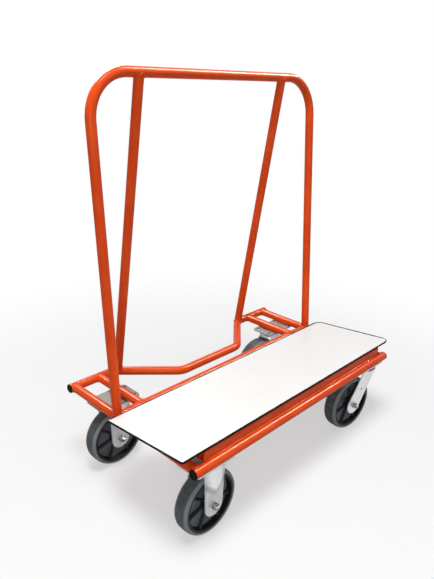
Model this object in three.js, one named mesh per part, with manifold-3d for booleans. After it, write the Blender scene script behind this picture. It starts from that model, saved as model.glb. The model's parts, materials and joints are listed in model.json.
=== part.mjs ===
// Sheet goods cart: a welded tube frame with a leaning back hoop, a tilted deck
// board and four casters, two rigid at the left end and two swivelling at the right.
// Millimetres, +Z up, floor at z = 0. X runs along the deck, the deck side is -Y.
import * as THREE from 'three';
import { mergeVertices } from 'three/addons/utils/BufferGeometryUtils.js';
import Module from 'manifold-3d';

const wasm = await Module();
wasm.setup();

// Clearance kept between pieces that touch, how far a cut runs past a face, and facet counts
const SEAT_GAP = 0.3;
const CUT_PAST = 1;
const TUBE_SIDES = 16;
const BEND_STEP = Math.PI / 10;
const WHEEL_SIDES = 24;
const HEAD_SIDES = 18;
const ROUND_SIDES = 10;
const CORNER_SEGMENTS = 2;
const LEG_SEGMENTS = 6;

// Frame tube
const TUBE_D = 30;
const TUBE_WALL = 2;

// Base frame in plan, measured from the middle rail's axis
const RAIL_LENGTH = 992;
const FRONT_RAIL_REACH = 353;
const REAR_RAIL_REACH = 237;
const SIDE_TUBE_SPACING = 960;
const INNER_TUBE_SPACING = 766;

// The rear rail steps in towards the deck between its two bends on each side
const JOG_OUTER_SPAN = 636;
const JOG_INNER_SPAN = 287;
const JOG_DEPTH = 159;
const JOG_BEND_R = 60;

// Back hoop and its braces
const OVERALL_HEIGHT = 1250;
const HOOP_SETBACK = 78;
const HOOP_BEND_R = 125;
const BRACE_SPACING = 624;

// Deck board and the tube that lifts its front edge
const DECK_LENGTH = 1070;
const DECK_WIDTH = 330;
const DECK_THICKNESS = 6;
const DECK_LEFT_CORNER_R = 8;
const DECK_RIGHT_CORNER_R = 32;
const DECK_TO_UPRIGHT = 10;
const SUPPORT_TUBE_SIZE = 31.75;
const SUPPORT_CORNER_R = 4;
const SUPPORT_LENGTH = 910;
const SUPPORT_SETBACK = 19;

// Plugs in the open ends of the rails
const CAP_FLANGE = 4;
const CAP_CHAMFER = 1.5;
const CAP_PLUG_LENGTH = 14;

// Caster plates and where they sit
const CASTER_HEIGHT = 241;
const PLATE_LENGTH = 154;
const PLATE_WIDTH = 92;
const PLATE_THICKNESS = 6;
const PLATE_CORNER_R = 14;
const SLOT_SPACING_X = 120;
const SLOT_SPACING_Y = 58;
const SLOT_LENGTH = 20;
const SLOT_WIDTH = 11;
const RIGID_CASTER_X = -410;
const SWIVEL_CASTER_X = 414;
const FRONT_CASTER_SETBACK = 39;

// Wheel
const WHEEL_D = 203.2;
const WHEEL_WIDTH = 50;
const TREAD_THICKNESS = 12;
const TREAD_SHOULDER_WIDTH = 9;
const TREAD_SHOULDER_DROP = 5;
const RIM_WIDTH = 48;
const RIM_THICKNESS = 6;
const WEB_THICKNESS = 8;
const HUB_D = 50;
const HUB_LENGTH = 58;
const RIB_COUNT = 7;
const RIB_PHASE = THREE.MathUtils.degToRad(61);
const RIB_THICKNESS = 6;
const RIB_INSET = 8;

// Axle, its sleeve and the roller bearing in the hub
const AXLE_D = 12.7;
const SLEEVE_D = 19;
const BEARING_D = 31;
const BEARING_INSET = 2;
const HUB_TO_FORK = 1.5;
const AXLE_HEX = 19;
const AXLE_HEAD_HEIGHT = 8;
const AXLE_NUT_HEIGHT = 11;
const AXLE_THREAD_BEYOND_NUT = 7;

// Forks
const LEG_THICKNESS = 5;
const RIGID_LEG_TOP_WIDTH = 80;
const SWIVEL_LEG_TOP_WIDTH = 70;
const LEG_END_R = 34;
const RIB_PANEL_WIDTH = 58;
const RIB_PANEL_RAISE = 4;
const RIB_PANEL_BEVEL = 3;
const RIB_PANEL_POINT_ABOVE_AXLE = 36;
const RIB_PANEL_POINT_DEPTH = 28;
const SWIVEL_OFFSET = 72;
const SWIVEL_TURN = THREE.MathUtils.degToRad(-6);
const LEG_HOLE_D = 8;

// Swivel head: raceway under the plate, ball race, fork crown and king pin
const RACEWAY_D = 86;
const RACEWAY_DEPTH = 6;
const RACE_OUTER_D = 78;
const RACE_INNER_D = 52;
const RACE_HEIGHT = 7;
const CROWN_D = 100;
const CROWN_THICKNESS = 9;
const CROWN_LIP_THICKNESS = 3;
const CROWN_LIP_HEIGHT = 8;
const KING_PIN_D = 16;
const KING_HEAD_D = 28;
const KING_HEAD_DEPTH = 4;
const KING_HEX = 24;
const KING_NUT_HEIGHT = 11;
const KING_THREAD_BEYOND_NUT = 3;

// Sizes that follow from the ones above
const tubeR = TUBE_D / 2;
const supportHalf = SUPPORT_TUBE_SIZE / 2;
const baseZ = CASTER_HEIGHT + SEAT_GAP + tubeR;
const hoopTopZ = OVERALL_HEIGHT - tubeR;
const wheelR = WHEEL_D / 2;
const rimR = wheelR - TREAD_THICKNESS;
const forkGap = HUB_LENGTH + 2 * HUB_TO_FORK;
const legInner = forkGap / 2;
const legOuter = legInner + LEG_THICKNESS;
const plateBottom = CASTER_HEIGHT - PLATE_THICKNESS;
const frontCasterY = FRONT_CASTER_SETBACK - FRONT_RAIL_REACH;
const rearCasterY = REAR_RAIL_REACH / 2;

// Finishes
const FINISHES = {
  orange: { color: 0xdc4b1e, roughness: 0.35, metalness: 0.0 },
  white: { color: 0xf4f4f2, roughness: 0.5, metalness: 0.0 },
  cap: { color: 0x111111, roughness: 0.6, metalness: 0.0 },
  zinc: { color: 0xc4c6c8, roughness: 0.35, metalness: 0.9 },
  rubber: { color: 0x55595c, roughness: 0.7, metalness: 0.0 },
  core: { color: 0x26282a, roughness: 0.55, metalness: 0.0 },
  steel: { color: 0x9a9c9e, roughness: 0.4, metalness: 1.0 },
};

const cart = new THREE.Group();

function addPart(parent, name, geometry, finish) {
  const material = new THREE.MeshStandardMaterial(FINISHES[finish]);
  const mesh = new THREE.Mesh(geometry, material);
  mesh.name = name;
  parent.add(mesh);
  return mesh;
}

// Merge shared corners and drop the triangles that collapse at a lathe's poles
function weld(geometry) {
  geometry.deleteAttribute('normal');
  geometry.deleteAttribute('uv');
  const merged = mergeVertices(geometry, 1e-4);
  const index = merged.index.array;
  const kept = [];
  for (let i = 0; i < index.length; i += 3) {
    const [a, b, c] = [index[i], index[i + 1], index[i + 2]];
    if (a !== b && b !== c && c !== a) kept.push(a, b, c);
  }
  merged.setIndex(kept);
  return merged;
}

function toSolid(geometry) {
  const welded = weld(geometry.clone());
  const mesh = new wasm.Mesh({
    numProp: 3,
    vertProperties: new Float32Array(welded.attributes.position.array),
    triVerts: new Uint32Array(welded.index.array),
  });
  mesh.merge();
  return new wasm.Manifold(mesh);
}

function toGeometry(solid) {
  const mesh = solid.getMesh();
  const geometry = new THREE.BufferGeometry();
  geometry.setAttribute('position', new THREE.BufferAttribute(mesh.vertProperties, 3));
  geometry.setIndex(new THREE.BufferAttribute(mesh.triVerts, 1));
  return geometry;
}

function cut(geometry, ...cutters) {
  const cutSolid = cutters.reduce((solid, cutter) => solid.subtract(toSolid(cutter)), toSolid(geometry));
  return toGeometry(cutSolid);
}

function join(...pieces) {
  const joined = pieces.map(toSolid).reduce((solid, piece) => solid.add(piece));
  return toGeometry(joined);
}

// Centre line of a bent tube: straight runs joined by round bends. A section is
// placed at each end of the line and at even steps round every bend.
class BentLine extends THREE.Curve {
  constructor(corners, bendR) {
    super();
    const last = corners.length - 1;
    this.stations = [corners[0]];
    this.headings = [corners[1].clone().sub(corners[0]).normalize()];
    for (let i = 1; i < last; i += 1) this.addBend(corners[i - 1], corners[i], corners[i + 1], bendR);
    this.stations.push(corners[last]);
    this.headings.push(corners[last].clone().sub(corners[last - 1]).normalize());
  }

  addBend(before, corner, after, bendR) {
    const heading = corner.clone().sub(before).normalize();
    const leaving = after.clone().sub(corner).normalize();
    const turn = heading.angleTo(leaving);
    const axis = heading.clone().cross(leaving).normalize();
    const start = corner.clone().addScaledVector(heading, -bendR * Math.tan(turn / 2));
    const inward = axis.clone().cross(heading);
    const centre = start.clone().addScaledVector(inward, bendR);
    const steps = Math.ceil(turn / BEND_STEP);
    for (let step = 0; step <= steps; step += 1) {
      const angle = (turn * step) / steps;
      const spoke = inward.clone().negate().applyAxisAngle(axis, angle);
      this.stations.push(centre.clone().addScaledVector(spoke, bendR));
      this.headings.push(heading.clone().applyAxisAngle(axis, angle));
    }
  }

  getSpacedPoints() {
    return this.stations.map((station) => station.clone());
  }

  // The point of the line at a given X, for a line that runs from -X to +X
  pointAtX(x) {
    const next = this.stations.findIndex((station) => station.x >= x);
    const [from, to] = [this.stations[next - 1], this.stations[next]];
    return from.clone().lerp(to, (x - from.x) / (to.x - from.x));
  }

  getTangentAt(u, target = new THREE.Vector3()) {
    return target.copy(this.headings[Math.round(u * (this.headings.length - 1))]);
  }
}

function circlePath(radius, PathClass) {
  const path = new PathClass();
  path.absarc(0, 0, radius, 0, 2 * Math.PI, false);
  return path;
}

// A round bar along a line, hollow where a wall is given
function roundBar(corners, radius, { wall = 0, bendR = 0 } = {}) {
  const section = circlePath(radius, THREE.Shape);
  if (wall > 0) section.holes.push(circlePath(radius - wall, THREE.Path));
  const line = new BentLine(corners, bendR);
  return new THREE.ExtrudeGeometry(section, {
    steps: line.stations.length - 1,
    curveSegments: TUBE_SIDES / 2,
    extrudePath: line,
  });
}

// The space a neighbouring tube takes up, with the seat gap round its flats
function tubeSpace(corners, radius, bendR = 0) {
  const clear = (radius + SEAT_GAP) / Math.cos(Math.PI / TUBE_SIDES);
  return roundBar(corners, clear, { bendR });
}

function at(x, y, z) {
  return new THREE.Vector3(x, y, z);
}

// A solid of revolution about Z. Its outline of (radius, height) points runs up the
// outside, from axis to axis or closing on itself.
function turned(outline, sides) {
  const points = outline.map(([radius, height]) => new THREE.Vector2(radius, height));
  const geometry = new THREE.LatheGeometry(points, sides);
  geometry.rotateX(Math.PI / 2);
  return geometry;
}

function hexPrism(acrossFlats, height) {
  const cornerR = acrossFlats / Math.sqrt(3);
  const prism = new THREE.CylinderGeometry(cornerR, cornerR, height, 6);
  prism.rotateX(Math.PI / 2);
  prism.translate(0, 0, height / 2);
  return prism;
}

function cylinder(diameter, from, to) {
  const bar = new THREE.CylinderGeometry(diameter / 2, diameter / 2, to - from, ROUND_SIDES);
  bar.rotateX(Math.PI / 2);
  bar.translate(0, 0, (from + to) / 2);
  return bar;
}

// Radius whose facets stay clear of a round piece of the given diameter as it turns
function clearR(diameter) {
  return (diameter / 2 + SEAT_GAP) / Math.cos(Math.PI / ROUND_SIDES);
}

// The space a round pin needs, wide enough for it to turn
function pinSpace(diameter, from, to) {
  return cylinder(2 * clearR(diameter), from, to);
}

// Turn a piece made along Z so that it lies along Y
function alongY(geometry) {
  geometry.rotateX(-Math.PI / 2);
  return geometry;
}

// Centre lines of the frame
const sideX = SIDE_TUBE_SPACING / 2;
const innerX = INNER_TUBE_SPACING / 2;
const railX = RAIL_LENGTH / 2;
const jogY = REAR_RAIL_REACH - JOG_DEPTH;

const frontRailLine = [at(-railX, -FRONT_RAIL_REACH, baseZ), at(railX, -FRONT_RAIL_REACH, baseZ)];
const middleRailLine = [at(-sideX, 0, baseZ), at(sideX, 0, baseZ)];
const rearRailLine = [
  at(-railX, REAR_RAIL_REACH, baseZ),
  at(-JOG_OUTER_SPAN / 2, REAR_RAIL_REACH, baseZ),
  at(-JOG_INNER_SPAN / 2, jogY, baseZ),
  at(JOG_INNER_SPAN / 2, jogY, baseZ),
  at(JOG_OUTER_SPAN / 2, REAR_RAIL_REACH, baseZ),
  at(railX, REAR_RAIL_REACH, baseZ),
];
const hoopLine = [
  at(-sideX, 0, baseZ),
  at(-sideX, HOOP_SETBACK, hoopTopZ),
  at(sideX, HOOP_SETBACK, hoopTopZ),
  at(sideX, 0, baseZ),
];
const sideTubeLine = (side) => [
  at(side * sideX, -FRONT_RAIL_REACH, baseZ),
  at(side * sideX, REAR_RAIL_REACH, baseZ),
];

const frontRailSpace = tubeSpace(frontRailLine, tubeR);
const middleRailSpace = tubeSpace(middleRailLine, tubeR);
const rearRailSpace = tubeSpace(rearRailLine, tubeR, JOG_BEND_R);
const hoopSpace = tubeSpace(hoopLine, tubeR, HOOP_BEND_R);
const sideTubeSpaces = [-1, 1].map((side) => tubeSpace(sideTubeLine(side), tubeR));
const tube = { wall: TUBE_WALL };

// Rails and hoop
addPart(cart, 'front_rail', weld(roundBar(frontRailLine, tubeR, tube)), 'orange');
const rearRail = roundBar(rearRailLine, tubeR, { wall: TUBE_WALL, bendR: JOG_BEND_R });
addPart(cart, 'rear_rail', weld(rearRail), 'orange');
const middleRail = cut(roundBar(middleRailLine, tubeR, tube), ...sideTubeSpaces);
addPart(cart, 'middle_rail', middleRail, 'orange');
const hoop = roundBar(hoopLine, tubeR, { wall: TUBE_WALL, bendR: HOOP_BEND_R });
addPart(cart, 'upright_hoop', cut(hoop, ...sideTubeSpaces, middleRailSpace), 'orange');

// Tubes that come in left and right pairs, with their ends fitted round what they meet
for (const [sideName, side] of [['left', -1], ['right', 1]]) {
  const sideTube = roundBar(sideTubeLine(side), tubeR, tube);
  addPart(cart, `${sideName}_side_tube`, cut(sideTube, frontRailSpace, rearRailSpace), 'orange');

  const stringerLine = [at(side * innerX, 0, baseZ), at(side * innerX, REAR_RAIL_REACH, baseZ)];
  const stringer = roundBar(stringerLine, tubeR, tube);
  addPart(cart, `${sideName}_rear_stringer`, cut(stringer, middleRailSpace, rearRailSpace), 'orange');

  const crossLine = [at(side * innerX, -FRONT_RAIL_REACH, baseZ), at(side * innerX, 0, baseZ)];
  const cross = roundBar(crossLine, tubeR, tube);
  addPart(cart, `${sideName}_deck_crosstube`, cut(cross, frontRailSpace, middleRailSpace), 'orange');

  const braceX = (side * BRACE_SPACING) / 2;
  const braceFoot = new BentLine(rearRailLine, JOG_BEND_R).pointAtX(braceX);
  const braceLine = [braceFoot, at(braceX, HOOP_SETBACK, hoopTopZ)];
  const brace = roundBar(braceLine, tubeR, tube);
  addPart(cart, `${sideName}_brace`, cut(brace, rearRailSpace, hoopSpace), 'orange');
}

function roundedRectangle(minX, maxX, minY, maxY, leftR, rightR) {
  const outline = new THREE.Shape();
  outline.absarc(minX + leftR, minY + leftR, leftR, Math.PI, 1.5 * Math.PI, false);
  outline.absarc(maxX - rightR, minY + rightR, rightR, -0.5 * Math.PI, 0, false);
  outline.absarc(maxX - rightR, maxY - rightR, rightR, 0, 0.5 * Math.PI, false);
  outline.absarc(minX + leftR, maxY - leftR, leftR, 0.5 * Math.PI, Math.PI, false);
  return outline;
}

function slab(outline, thickness, curveSegments) {
  return new THREE.ExtrudeGeometry(outline, { depth: thickness, bevelEnabled: false, curveSegments });
}

// The support tube is square. It rides on the inner cross tubes just behind the front rail.
function squareTube(size, cornerR, wall, length) {
  const outer = size / 2;
  const inner = outer - wall;
  const innerR = cornerR - wall;
  const section = roundedRectangle(-outer, outer, -outer, outer, cornerR, cornerR);
  section.holes.push(roundedRectangle(-inner, inner, -inner, inner, innerR, innerR));
  const bar = slab(section, length, CORNER_SEGMENTS);
  bar.translate(0, 0, -length / 2);
  bar.rotateY(Math.PI / 2);
  return bar;
}

const supportY = SUPPORT_SETBACK - FRONT_RAIL_REACH;
const supportZ = baseZ + tubeR + SEAT_GAP + supportHalf;
const supportTube = squareTube(SUPPORT_TUBE_SIZE, SUPPORT_CORNER_R, TUBE_WALL, SUPPORT_LENGTH);
supportTube.translate(0, supportY, supportZ);
addPart(cart, 'deck_support_tube', weld(supportTube), 'orange');

// The deck board lies on the middle rail and on the upper rear corner of the support tube
const toCorner = supportHalf - SUPPORT_CORNER_R;
const restY = supportY + toCorner;
const restRise = supportZ + toCorner - baseZ;
const radiusStep = (SUPPORT_CORNER_R - tubeR) / Math.hypot(restRise, restY);
const deckTilt = Math.atan2(restRise, -restY) + Math.asin(radiusStep);

const halfDeck = DECK_LENGTH / 2;
const deckRear = -(tubeR + DECK_TO_UPRIGHT);
const deckOutline = roundedRectangle(
  -halfDeck, halfDeck, deckRear - DECK_WIDTH, deckRear, DECK_LEFT_CORNER_R, DECK_RIGHT_CORNER_R,
);
const deck = addPart(cart, 'deck_board', weld(slab(deckOutline, DECK_THICKNESS, LEG_SEGMENTS)), 'white');
deck.rotation.x = -deckTilt;
const liftToRail = tubeR + SEAT_GAP;
deck.position.set(0, liftToRail * Math.sin(deckTilt), baseZ + liftToRail * Math.cos(deckTilt));

// End plugs: a chamfered flange and a plug that slides into the tube
function endPlug() {
  const plugR = tubeR - TUBE_WALL - SEAT_GAP;
  return turned([
    [0, -CAP_PLUG_LENGTH],
    [plugR, -CAP_PLUG_LENGTH],
    [plugR, SEAT_GAP],
    [tubeR, SEAT_GAP],
    [tubeR, CAP_FLANGE - CAP_CHAMFER],
    [tubeR - CAP_CHAMFER, CAP_FLANGE],
    [0, CAP_FLANGE],
  ], TUBE_SIDES);
}

for (const [railName, railY] of [['rear_rail', REAR_RAIL_REACH], ['front_rail', -FRONT_RAIL_REACH]]) {
  for (const [sideName, side] of [['left', -1], ['right', 1]]) {
    const cap = addPart(cart, `${railName}_${sideName}_cap`, weld(endPlug()), 'cap');
    cap.rotation.y = (side * Math.PI) / 2;
    cap.position.set(side * railX, railY, baseZ);
  }
}

// Caster plate with rounded corners and four slots
function casterPlate() {
  const [halfX, halfY] = [PLATE_LENGTH / 2, PLATE_WIDTH / 2];
  const outline = roundedRectangle(-halfX, halfX, -halfY, halfY, PLATE_CORNER_R, PLATE_CORNER_R);
  for (const [signX, signY] of [[-1, -1], [1, -1], [1, 1], [-1, 1]]) {
    const slot = new THREE.Path();
    const straight = (SLOT_LENGTH - SLOT_WIDTH) / 2;
    const [x, y] = [(signX * SLOT_SPACING_X) / 2, (signY * SLOT_SPACING_Y) / 2];
    slot.absarc(x + straight, y, SLOT_WIDTH / 2, -0.5 * Math.PI, 0.5 * Math.PI, false);
    slot.absarc(x - straight, y, SLOT_WIDTH / 2, 0.5 * Math.PI, 1.5 * Math.PI, false);
    outline.holes.push(slot);
  }
  const plate = slab(outline, PLATE_THICKNESS, CORNER_SEGMENTS);
  plate.translate(0, 0, plateBottom);
  return plate;
}

// Angle round a circle at which the line from a point touches its left (+1) or right (-1) side
function tangentAngle(point, centre, radius, side) {
  const toPoint = point.clone().sub(centre);
  return Math.atan2(toPoint.y, toPoint.x) + side * Math.acos(radius / toPoint.length());
}

// One fork leg in the XZ plane: a straight top edge, sides tangent to the rounded
// end at the axle, and the axle hole. It is extruded from y = 0 towards +Y.
function legOutline(offset, topZ, topWidth) {
  const halfTop = topWidth / 2;
  const axle = new THREE.Vector2(-offset, wheelR);
  const topLeft = new THREE.Vector2(-halfTop, topZ);
  const topRight = new THREE.Vector2(halfTop, topZ);
  const leftAngle = tangentAngle(topLeft, axle, LEG_END_R, 1);
  const rightAngle = tangentAngle(topRight, axle, LEG_END_R, -1);
  const outline = new THREE.Shape();
  outline.moveTo(topRight.x, topRight.y);
  outline.lineTo(topLeft.x, topLeft.y);
  outline.absarc(axle.x, axle.y, LEG_END_R, leftAngle, rightAngle + 2 * Math.PI, false);
  outline.closePath();
  const axleHole = new THREE.Path();
  axleHole.absarc(axle.x, axle.y, AXLE_D / 2 + SEAT_GAP, 0, 2 * Math.PI, false);
  outline.holes.push(axleHole);
  return outline;
}

// Extrude an XZ outline between two Y values
function standing(outline, fromY, toY) {
  const plate = slab(outline, toY - fromY, LEG_SEGMENTS);
  plate.rotateX(Math.PI / 2);
  plate.translate(0, toY, 0);
  return plate;
}

// Pressed stiffening panel on the outside of a rigid fork's leg, ending in a point
function ribPanel(side) {
  const half = RIB_PANEL_WIDTH / 2;
  const pointZ = wheelR + RIB_PANEL_POINT_ABOVE_AXLE;
  const shoulderZ = pointZ + RIB_PANEL_POINT_DEPTH;
  const outline = new THREE.Shape([
    new THREE.Vector2(-half, plateBottom),
    new THREE.Vector2(-half, shoulderZ),
    new THREE.Vector2(0, pointZ),
    new THREE.Vector2(half, shoulderZ),
    new THREE.Vector2(half, plateBottom),
  ]);
  const sunk = LEG_THICKNESS / 2;
  const panel = new THREE.ExtrudeGeometry(outline, {
    depth: sunk + RIB_PANEL_RAISE - RIB_PANEL_BEVEL,
    bevelEnabled: true,
    bevelThickness: RIB_PANEL_BEVEL,
    bevelSize: RIB_PANEL_BEVEL,
    bevelOffset: -RIB_PANEL_BEVEL,
    bevelSegments: 1,
  });
  panel.rotateX(Math.PI / 2);
  if (side > 0) panel.rotateZ(Math.PI);
  panel.translate(0, side * (legOuter - sunk), 0);
  return panel;
}

function rigidFork() {
  const outline = legOutline(0, plateBottom + PLATE_THICKNESS / 2, RIGID_LEG_TOP_WIDTH);
  const legs = [standing(outline, legInner, legOuter), standing(outline, -legOuter, -legInner)];
  return join(casterPlate(), ...legs, ribPanel(-1), ribPanel(1));
}

// Heights down the swivel head
const racewayBottom = plateBottom - RACEWAY_DEPTH;
const raceTop = racewayBottom - SEAT_GAP;
const raceBottom = raceTop - RACE_HEIGHT;
const crownTop = raceBottom - SEAT_GAP;
const crownBottom = crownTop - CROWN_THICKNESS;
const kingNutTop = crownBottom - SEAT_GAP;

function swivelPlate() {
  const raceway = turned([
    [0, racewayBottom],
    [RACEWAY_D / 2 - RACEWAY_DEPTH / 2, racewayBottom],
    [RACEWAY_D / 2, racewayBottom + RACEWAY_DEPTH / 2],
    [RACEWAY_D / 2, plateBottom + PLATE_THICKNESS / 2],
    [0, plateBottom + PLATE_THICKNESS / 2],
  ], HEAD_SIDES);
  const shankSpace = pinSpace(KING_PIN_D, racewayBottom - CUT_PAST, CASTER_HEIGHT);
  const headFloor = CASTER_HEIGHT - KING_HEAD_DEPTH - 2 * SEAT_GAP;
  const headSpace = pinSpace(KING_HEAD_D, headFloor, CASTER_HEIGHT + CUT_PAST);
  return cut(join(casterPlate(), raceway), shankSpace, headSpace);
}

// Ring that holds the balls between the raceway and the crown, with a rounded outer rim
function ballRace() {
  const [inner, outer] = [RACE_INNER_D / 2, RACE_OUTER_D / 2];
  const round = RACE_HEIGHT / 4;
  return turned([
    [inner, raceBottom],
    [outer - round, raceBottom],
    [outer, raceBottom + round],
    [outer, raceTop - round],
    [outer - round, raceTop],
    [inner, raceTop],
    [inner, raceBottom],
  ], HEAD_SIDES);
}

function swivelFork() {
  const crownR = CROWN_D / 2;
  const crown = turned([
    [0, crownBottom],
    [crownR - CROWN_THICKNESS / 2, crownBottom],
    [crownR, crownBottom + CROWN_THICKNESS / 2],
    [crownR, crownTop + CROWN_LIP_HEIGHT],
    [crownR - CROWN_LIP_THICKNESS, crownTop + CROWN_LIP_HEIGHT],
    [crownR - CROWN_LIP_THICKNESS, crownTop],
    [0, crownTop],
  ], HEAD_SIDES);
  const legTop = crownBottom + CROWN_THICKNESS / 2;
  const outline = legOutline(SWIVEL_OFFSET, legTop, SWIVEL_LEG_TOP_WIDTH);
  const holeX = -SWIVEL_OFFSET / 2;
  const legHole = new THREE.Path();
  legHole.absarc(holeX, (crownBottom + wheelR) / 2, LEG_HOLE_D / 2, 0, 2 * Math.PI, false);
  outline.holes.push(legHole);
  const legs = [standing(outline, legInner, legOuter), standing(outline, -legOuter, -legInner)];
  return cut(join(crown, ...legs), pinSpace(KING_PIN_D, crownBottom - CUT_PAST, crownTop + CUT_PAST));
}

// King pin: a flush head in the plate and a shank down through the crown and nut
function kingPin() {
  const top = CASTER_HEIGHT - SEAT_GAP;
  const headBottom = top - KING_HEAD_DEPTH;
  const tip = kingNutTop - KING_NUT_HEIGHT - KING_THREAD_BEYOND_NUT;
  return turned([
    [0, tip],
    [KING_PIN_D / 2, tip],
    [KING_PIN_D / 2, headBottom],
    [KING_HEAD_D / 2, headBottom],
    [KING_HEAD_D / 2, top],
    [0, top],
  ], ROUND_SIDES);
}

function kingNut() {
  const nut = hexPrism(KING_HEX, KING_NUT_HEIGHT);
  nut.translate(0, 0, kingNutTop - KING_NUT_HEIGHT);
  const bore = pinSpace(KING_PIN_D, kingNutTop - KING_NUT_HEIGHT - CUT_PAST, kingNutTop + CUT_PAST);
  return cut(nut, bore);
}

// Axle pieces and wheel are made about the axle, along Z, and then laid along Y
function axleBolt() {
  const headInner = legOuter + SEAT_GAP;
  const head = hexPrism(AXLE_HEX, AXLE_HEAD_HEIGHT);
  head.translate(0, 0, headInner);
  const tip = -(legOuter + SEAT_GAP + AXLE_NUT_HEIGHT + AXLE_THREAD_BEYOND_NUT);
  return alongY(join(head, cylinder(AXLE_D, tip, headInner + AXLE_HEAD_HEIGHT / 2)));
}

function axleNut() {
  const inner = -(legOuter + SEAT_GAP);
  const nut = hexPrism(AXLE_HEX, AXLE_NUT_HEIGHT);
  nut.translate(0, 0, inner - AXLE_NUT_HEIGHT);
  const bore = pinSpace(AXLE_D, inner - AXLE_NUT_HEIGHT - CUT_PAST, inner + CUT_PAST);
  return alongY(cut(nut, bore));
}

// A plain ring that a round pin turns in
function ring(pinD, outerD, length) {
  const [inner, outer, half] = [clearR(pinD), outerD / 2, length / 2];
  const outline = [[inner, -half], [outer, -half], [outer, half], [inner, half], [inner, -half]];
  return turned(outline, ROUND_SIDES);
}

function axleSleeve() {
  return alongY(weld(ring(AXLE_D, SLEEVE_D, forkGap - 2 * SEAT_GAP)));
}

function wheelBearing() {
  const length = HUB_LENGTH - 2 * BEARING_INSET;
  return alongY(weld(ring(SLEEVE_D, BEARING_D, length)));
}

// Moulded core: rim, thin web and hub turned in one, with ribs through the web
function wheelCore() {
  const [bore, hub] = [BEARING_D / 2 + SEAT_GAP, HUB_D / 2];
  const [halfHub, halfRim, halfWeb] = [HUB_LENGTH / 2, RIM_WIDTH / 2, WEB_THICKNESS / 2];
  const rimInner = rimR - RIM_THICKNESS;
  const body = turned([
    [bore, -halfHub],
    [hub, -halfHub],
    [hub, -halfWeb],
    [rimInner, -halfWeb],
    [rimInner, -halfRim],
    [rimR, -halfRim],
    [rimR, halfRim],
    [rimInner, halfRim],
    [rimInner, halfWeb],
    [hub, halfWeb],
    [hub, halfHub],
    [bore, halfHub],
    [bore, -halfHub],
  ], WHEEL_SIDES);
  const ribInner = (bore + hub) / 2;
  const ribOuter = rimInner + RIM_THICKNESS / 2;
  const ribs = [];
  for (let i = 0; i < RIB_COUNT; i += 1) {
    const rib = new THREE.BoxGeometry(ribOuter - ribInner, RIB_THICKNESS, RIM_WIDTH - 2 * RIB_INSET);
    rib.translate((ribOuter + ribInner) / 2, 0, 0);
    rib.rotateZ(RIB_PHASE + (2 * Math.PI * i) / RIB_COUNT);
    ribs.push(rib);
  }
  return alongY(join(body, ...ribs));
}

// Rubber tread bonded round the rim, with bevelled shoulders
function wheelTread() {
  const inner = rimR + SEAT_GAP;
  const half = WHEEL_WIDTH / 2;
  return alongY(weld(turned([
    [inner, -half],
    [wheelR - TREAD_SHOULDER_DROP, -half],
    [wheelR, TREAD_SHOULDER_WIDTH - half],
    [wheelR, half - TREAD_SHOULDER_WIDTH],
    [wheelR - TREAD_SHOULDER_DROP, half],
    [inner, half],
    [inner, -half],
  ], WHEEL_SIDES)));
}

function addWheel(caster, name, axleX) {
  const axle = new THREE.Group();
  axle.position.set(axleX, 0, wheelR);
  caster.add(axle);
  addPart(axle, `${name}_axle_bolt`, axleBolt(), 'steel');
  addPart(axle, `${name}_axle_nut`, axleNut(), 'steel');
  addPart(axle, `${name}_axle_sleeve`, axleSleeve(), 'steel');
  addPart(axle, `${name}_wheel_bearing`, wheelBearing(), 'steel');
  addPart(axle, `${name}_wheel_core`, wheelCore(), 'core');
  addPart(axle, `${name}_wheel_tread`, wheelTread(), 'rubber');
}

for (const [endName, casterY] of [['front', frontCasterY], ['rear', rearCasterY]]) {
  const rigid = new THREE.Group();
  rigid.position.set(RIGID_CASTER_X, casterY, 0);
  cart.add(rigid);
  addPart(rigid, `${endName}_left_fork`, rigidFork(), 'zinc');
  addWheel(rigid, `${endName}_left`, 0);

  const swivel = new THREE.Group();
  swivel.position.set(SWIVEL_CASTER_X, casterY, 0);
  cart.add(swivel);
  addPart(swivel, `${endName}_right_top_plate`, swivelPlate(), 'zinc');
  addPart(swivel, `${endName}_right_ball_race`, weld(ballRace()), 'steel');
  addPart(swivel, `${endName}_right_king_pin`, weld(kingPin()), 'steel');
  addPart(swivel, `${endName}_right_king_nut`, kingNut(), 'steel');

  // Both swivel casters stand a little turned, as they come to rest after a push
  const yoke = new THREE.Group();
  yoke.rotation.z = SWIVEL_TURN;
  swivel.add(yoke);
  addPart(yoke, `${endName}_right_swivel_fork`, swivelFork(), 'zinc');
  addWheel(yoke, `${endName}_right`, -SWIVEL_OFFSET);
}

// Centre the cart on the origin: its depth runs from the front rail to the rear rail
cart.position.y = (FRONT_RAIL_REACH - REAR_RAIL_REACH) / 2;

export default cart;
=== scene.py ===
# %% [markdown]
# # A sheet goods cart, from bare solids to a finished portrait
# The cart is a welded frame of orange tube with a white deck board and four casters. The packed
# solids already stand at their real size and place, in metres. This lesson gives each of them its
# fine surface and its finish. The frame is loaded first.

# %% Load the frame
import json
import math

import bmesh
import bpy
import numpy as np
from mathutils import Matrix, Vector


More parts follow.
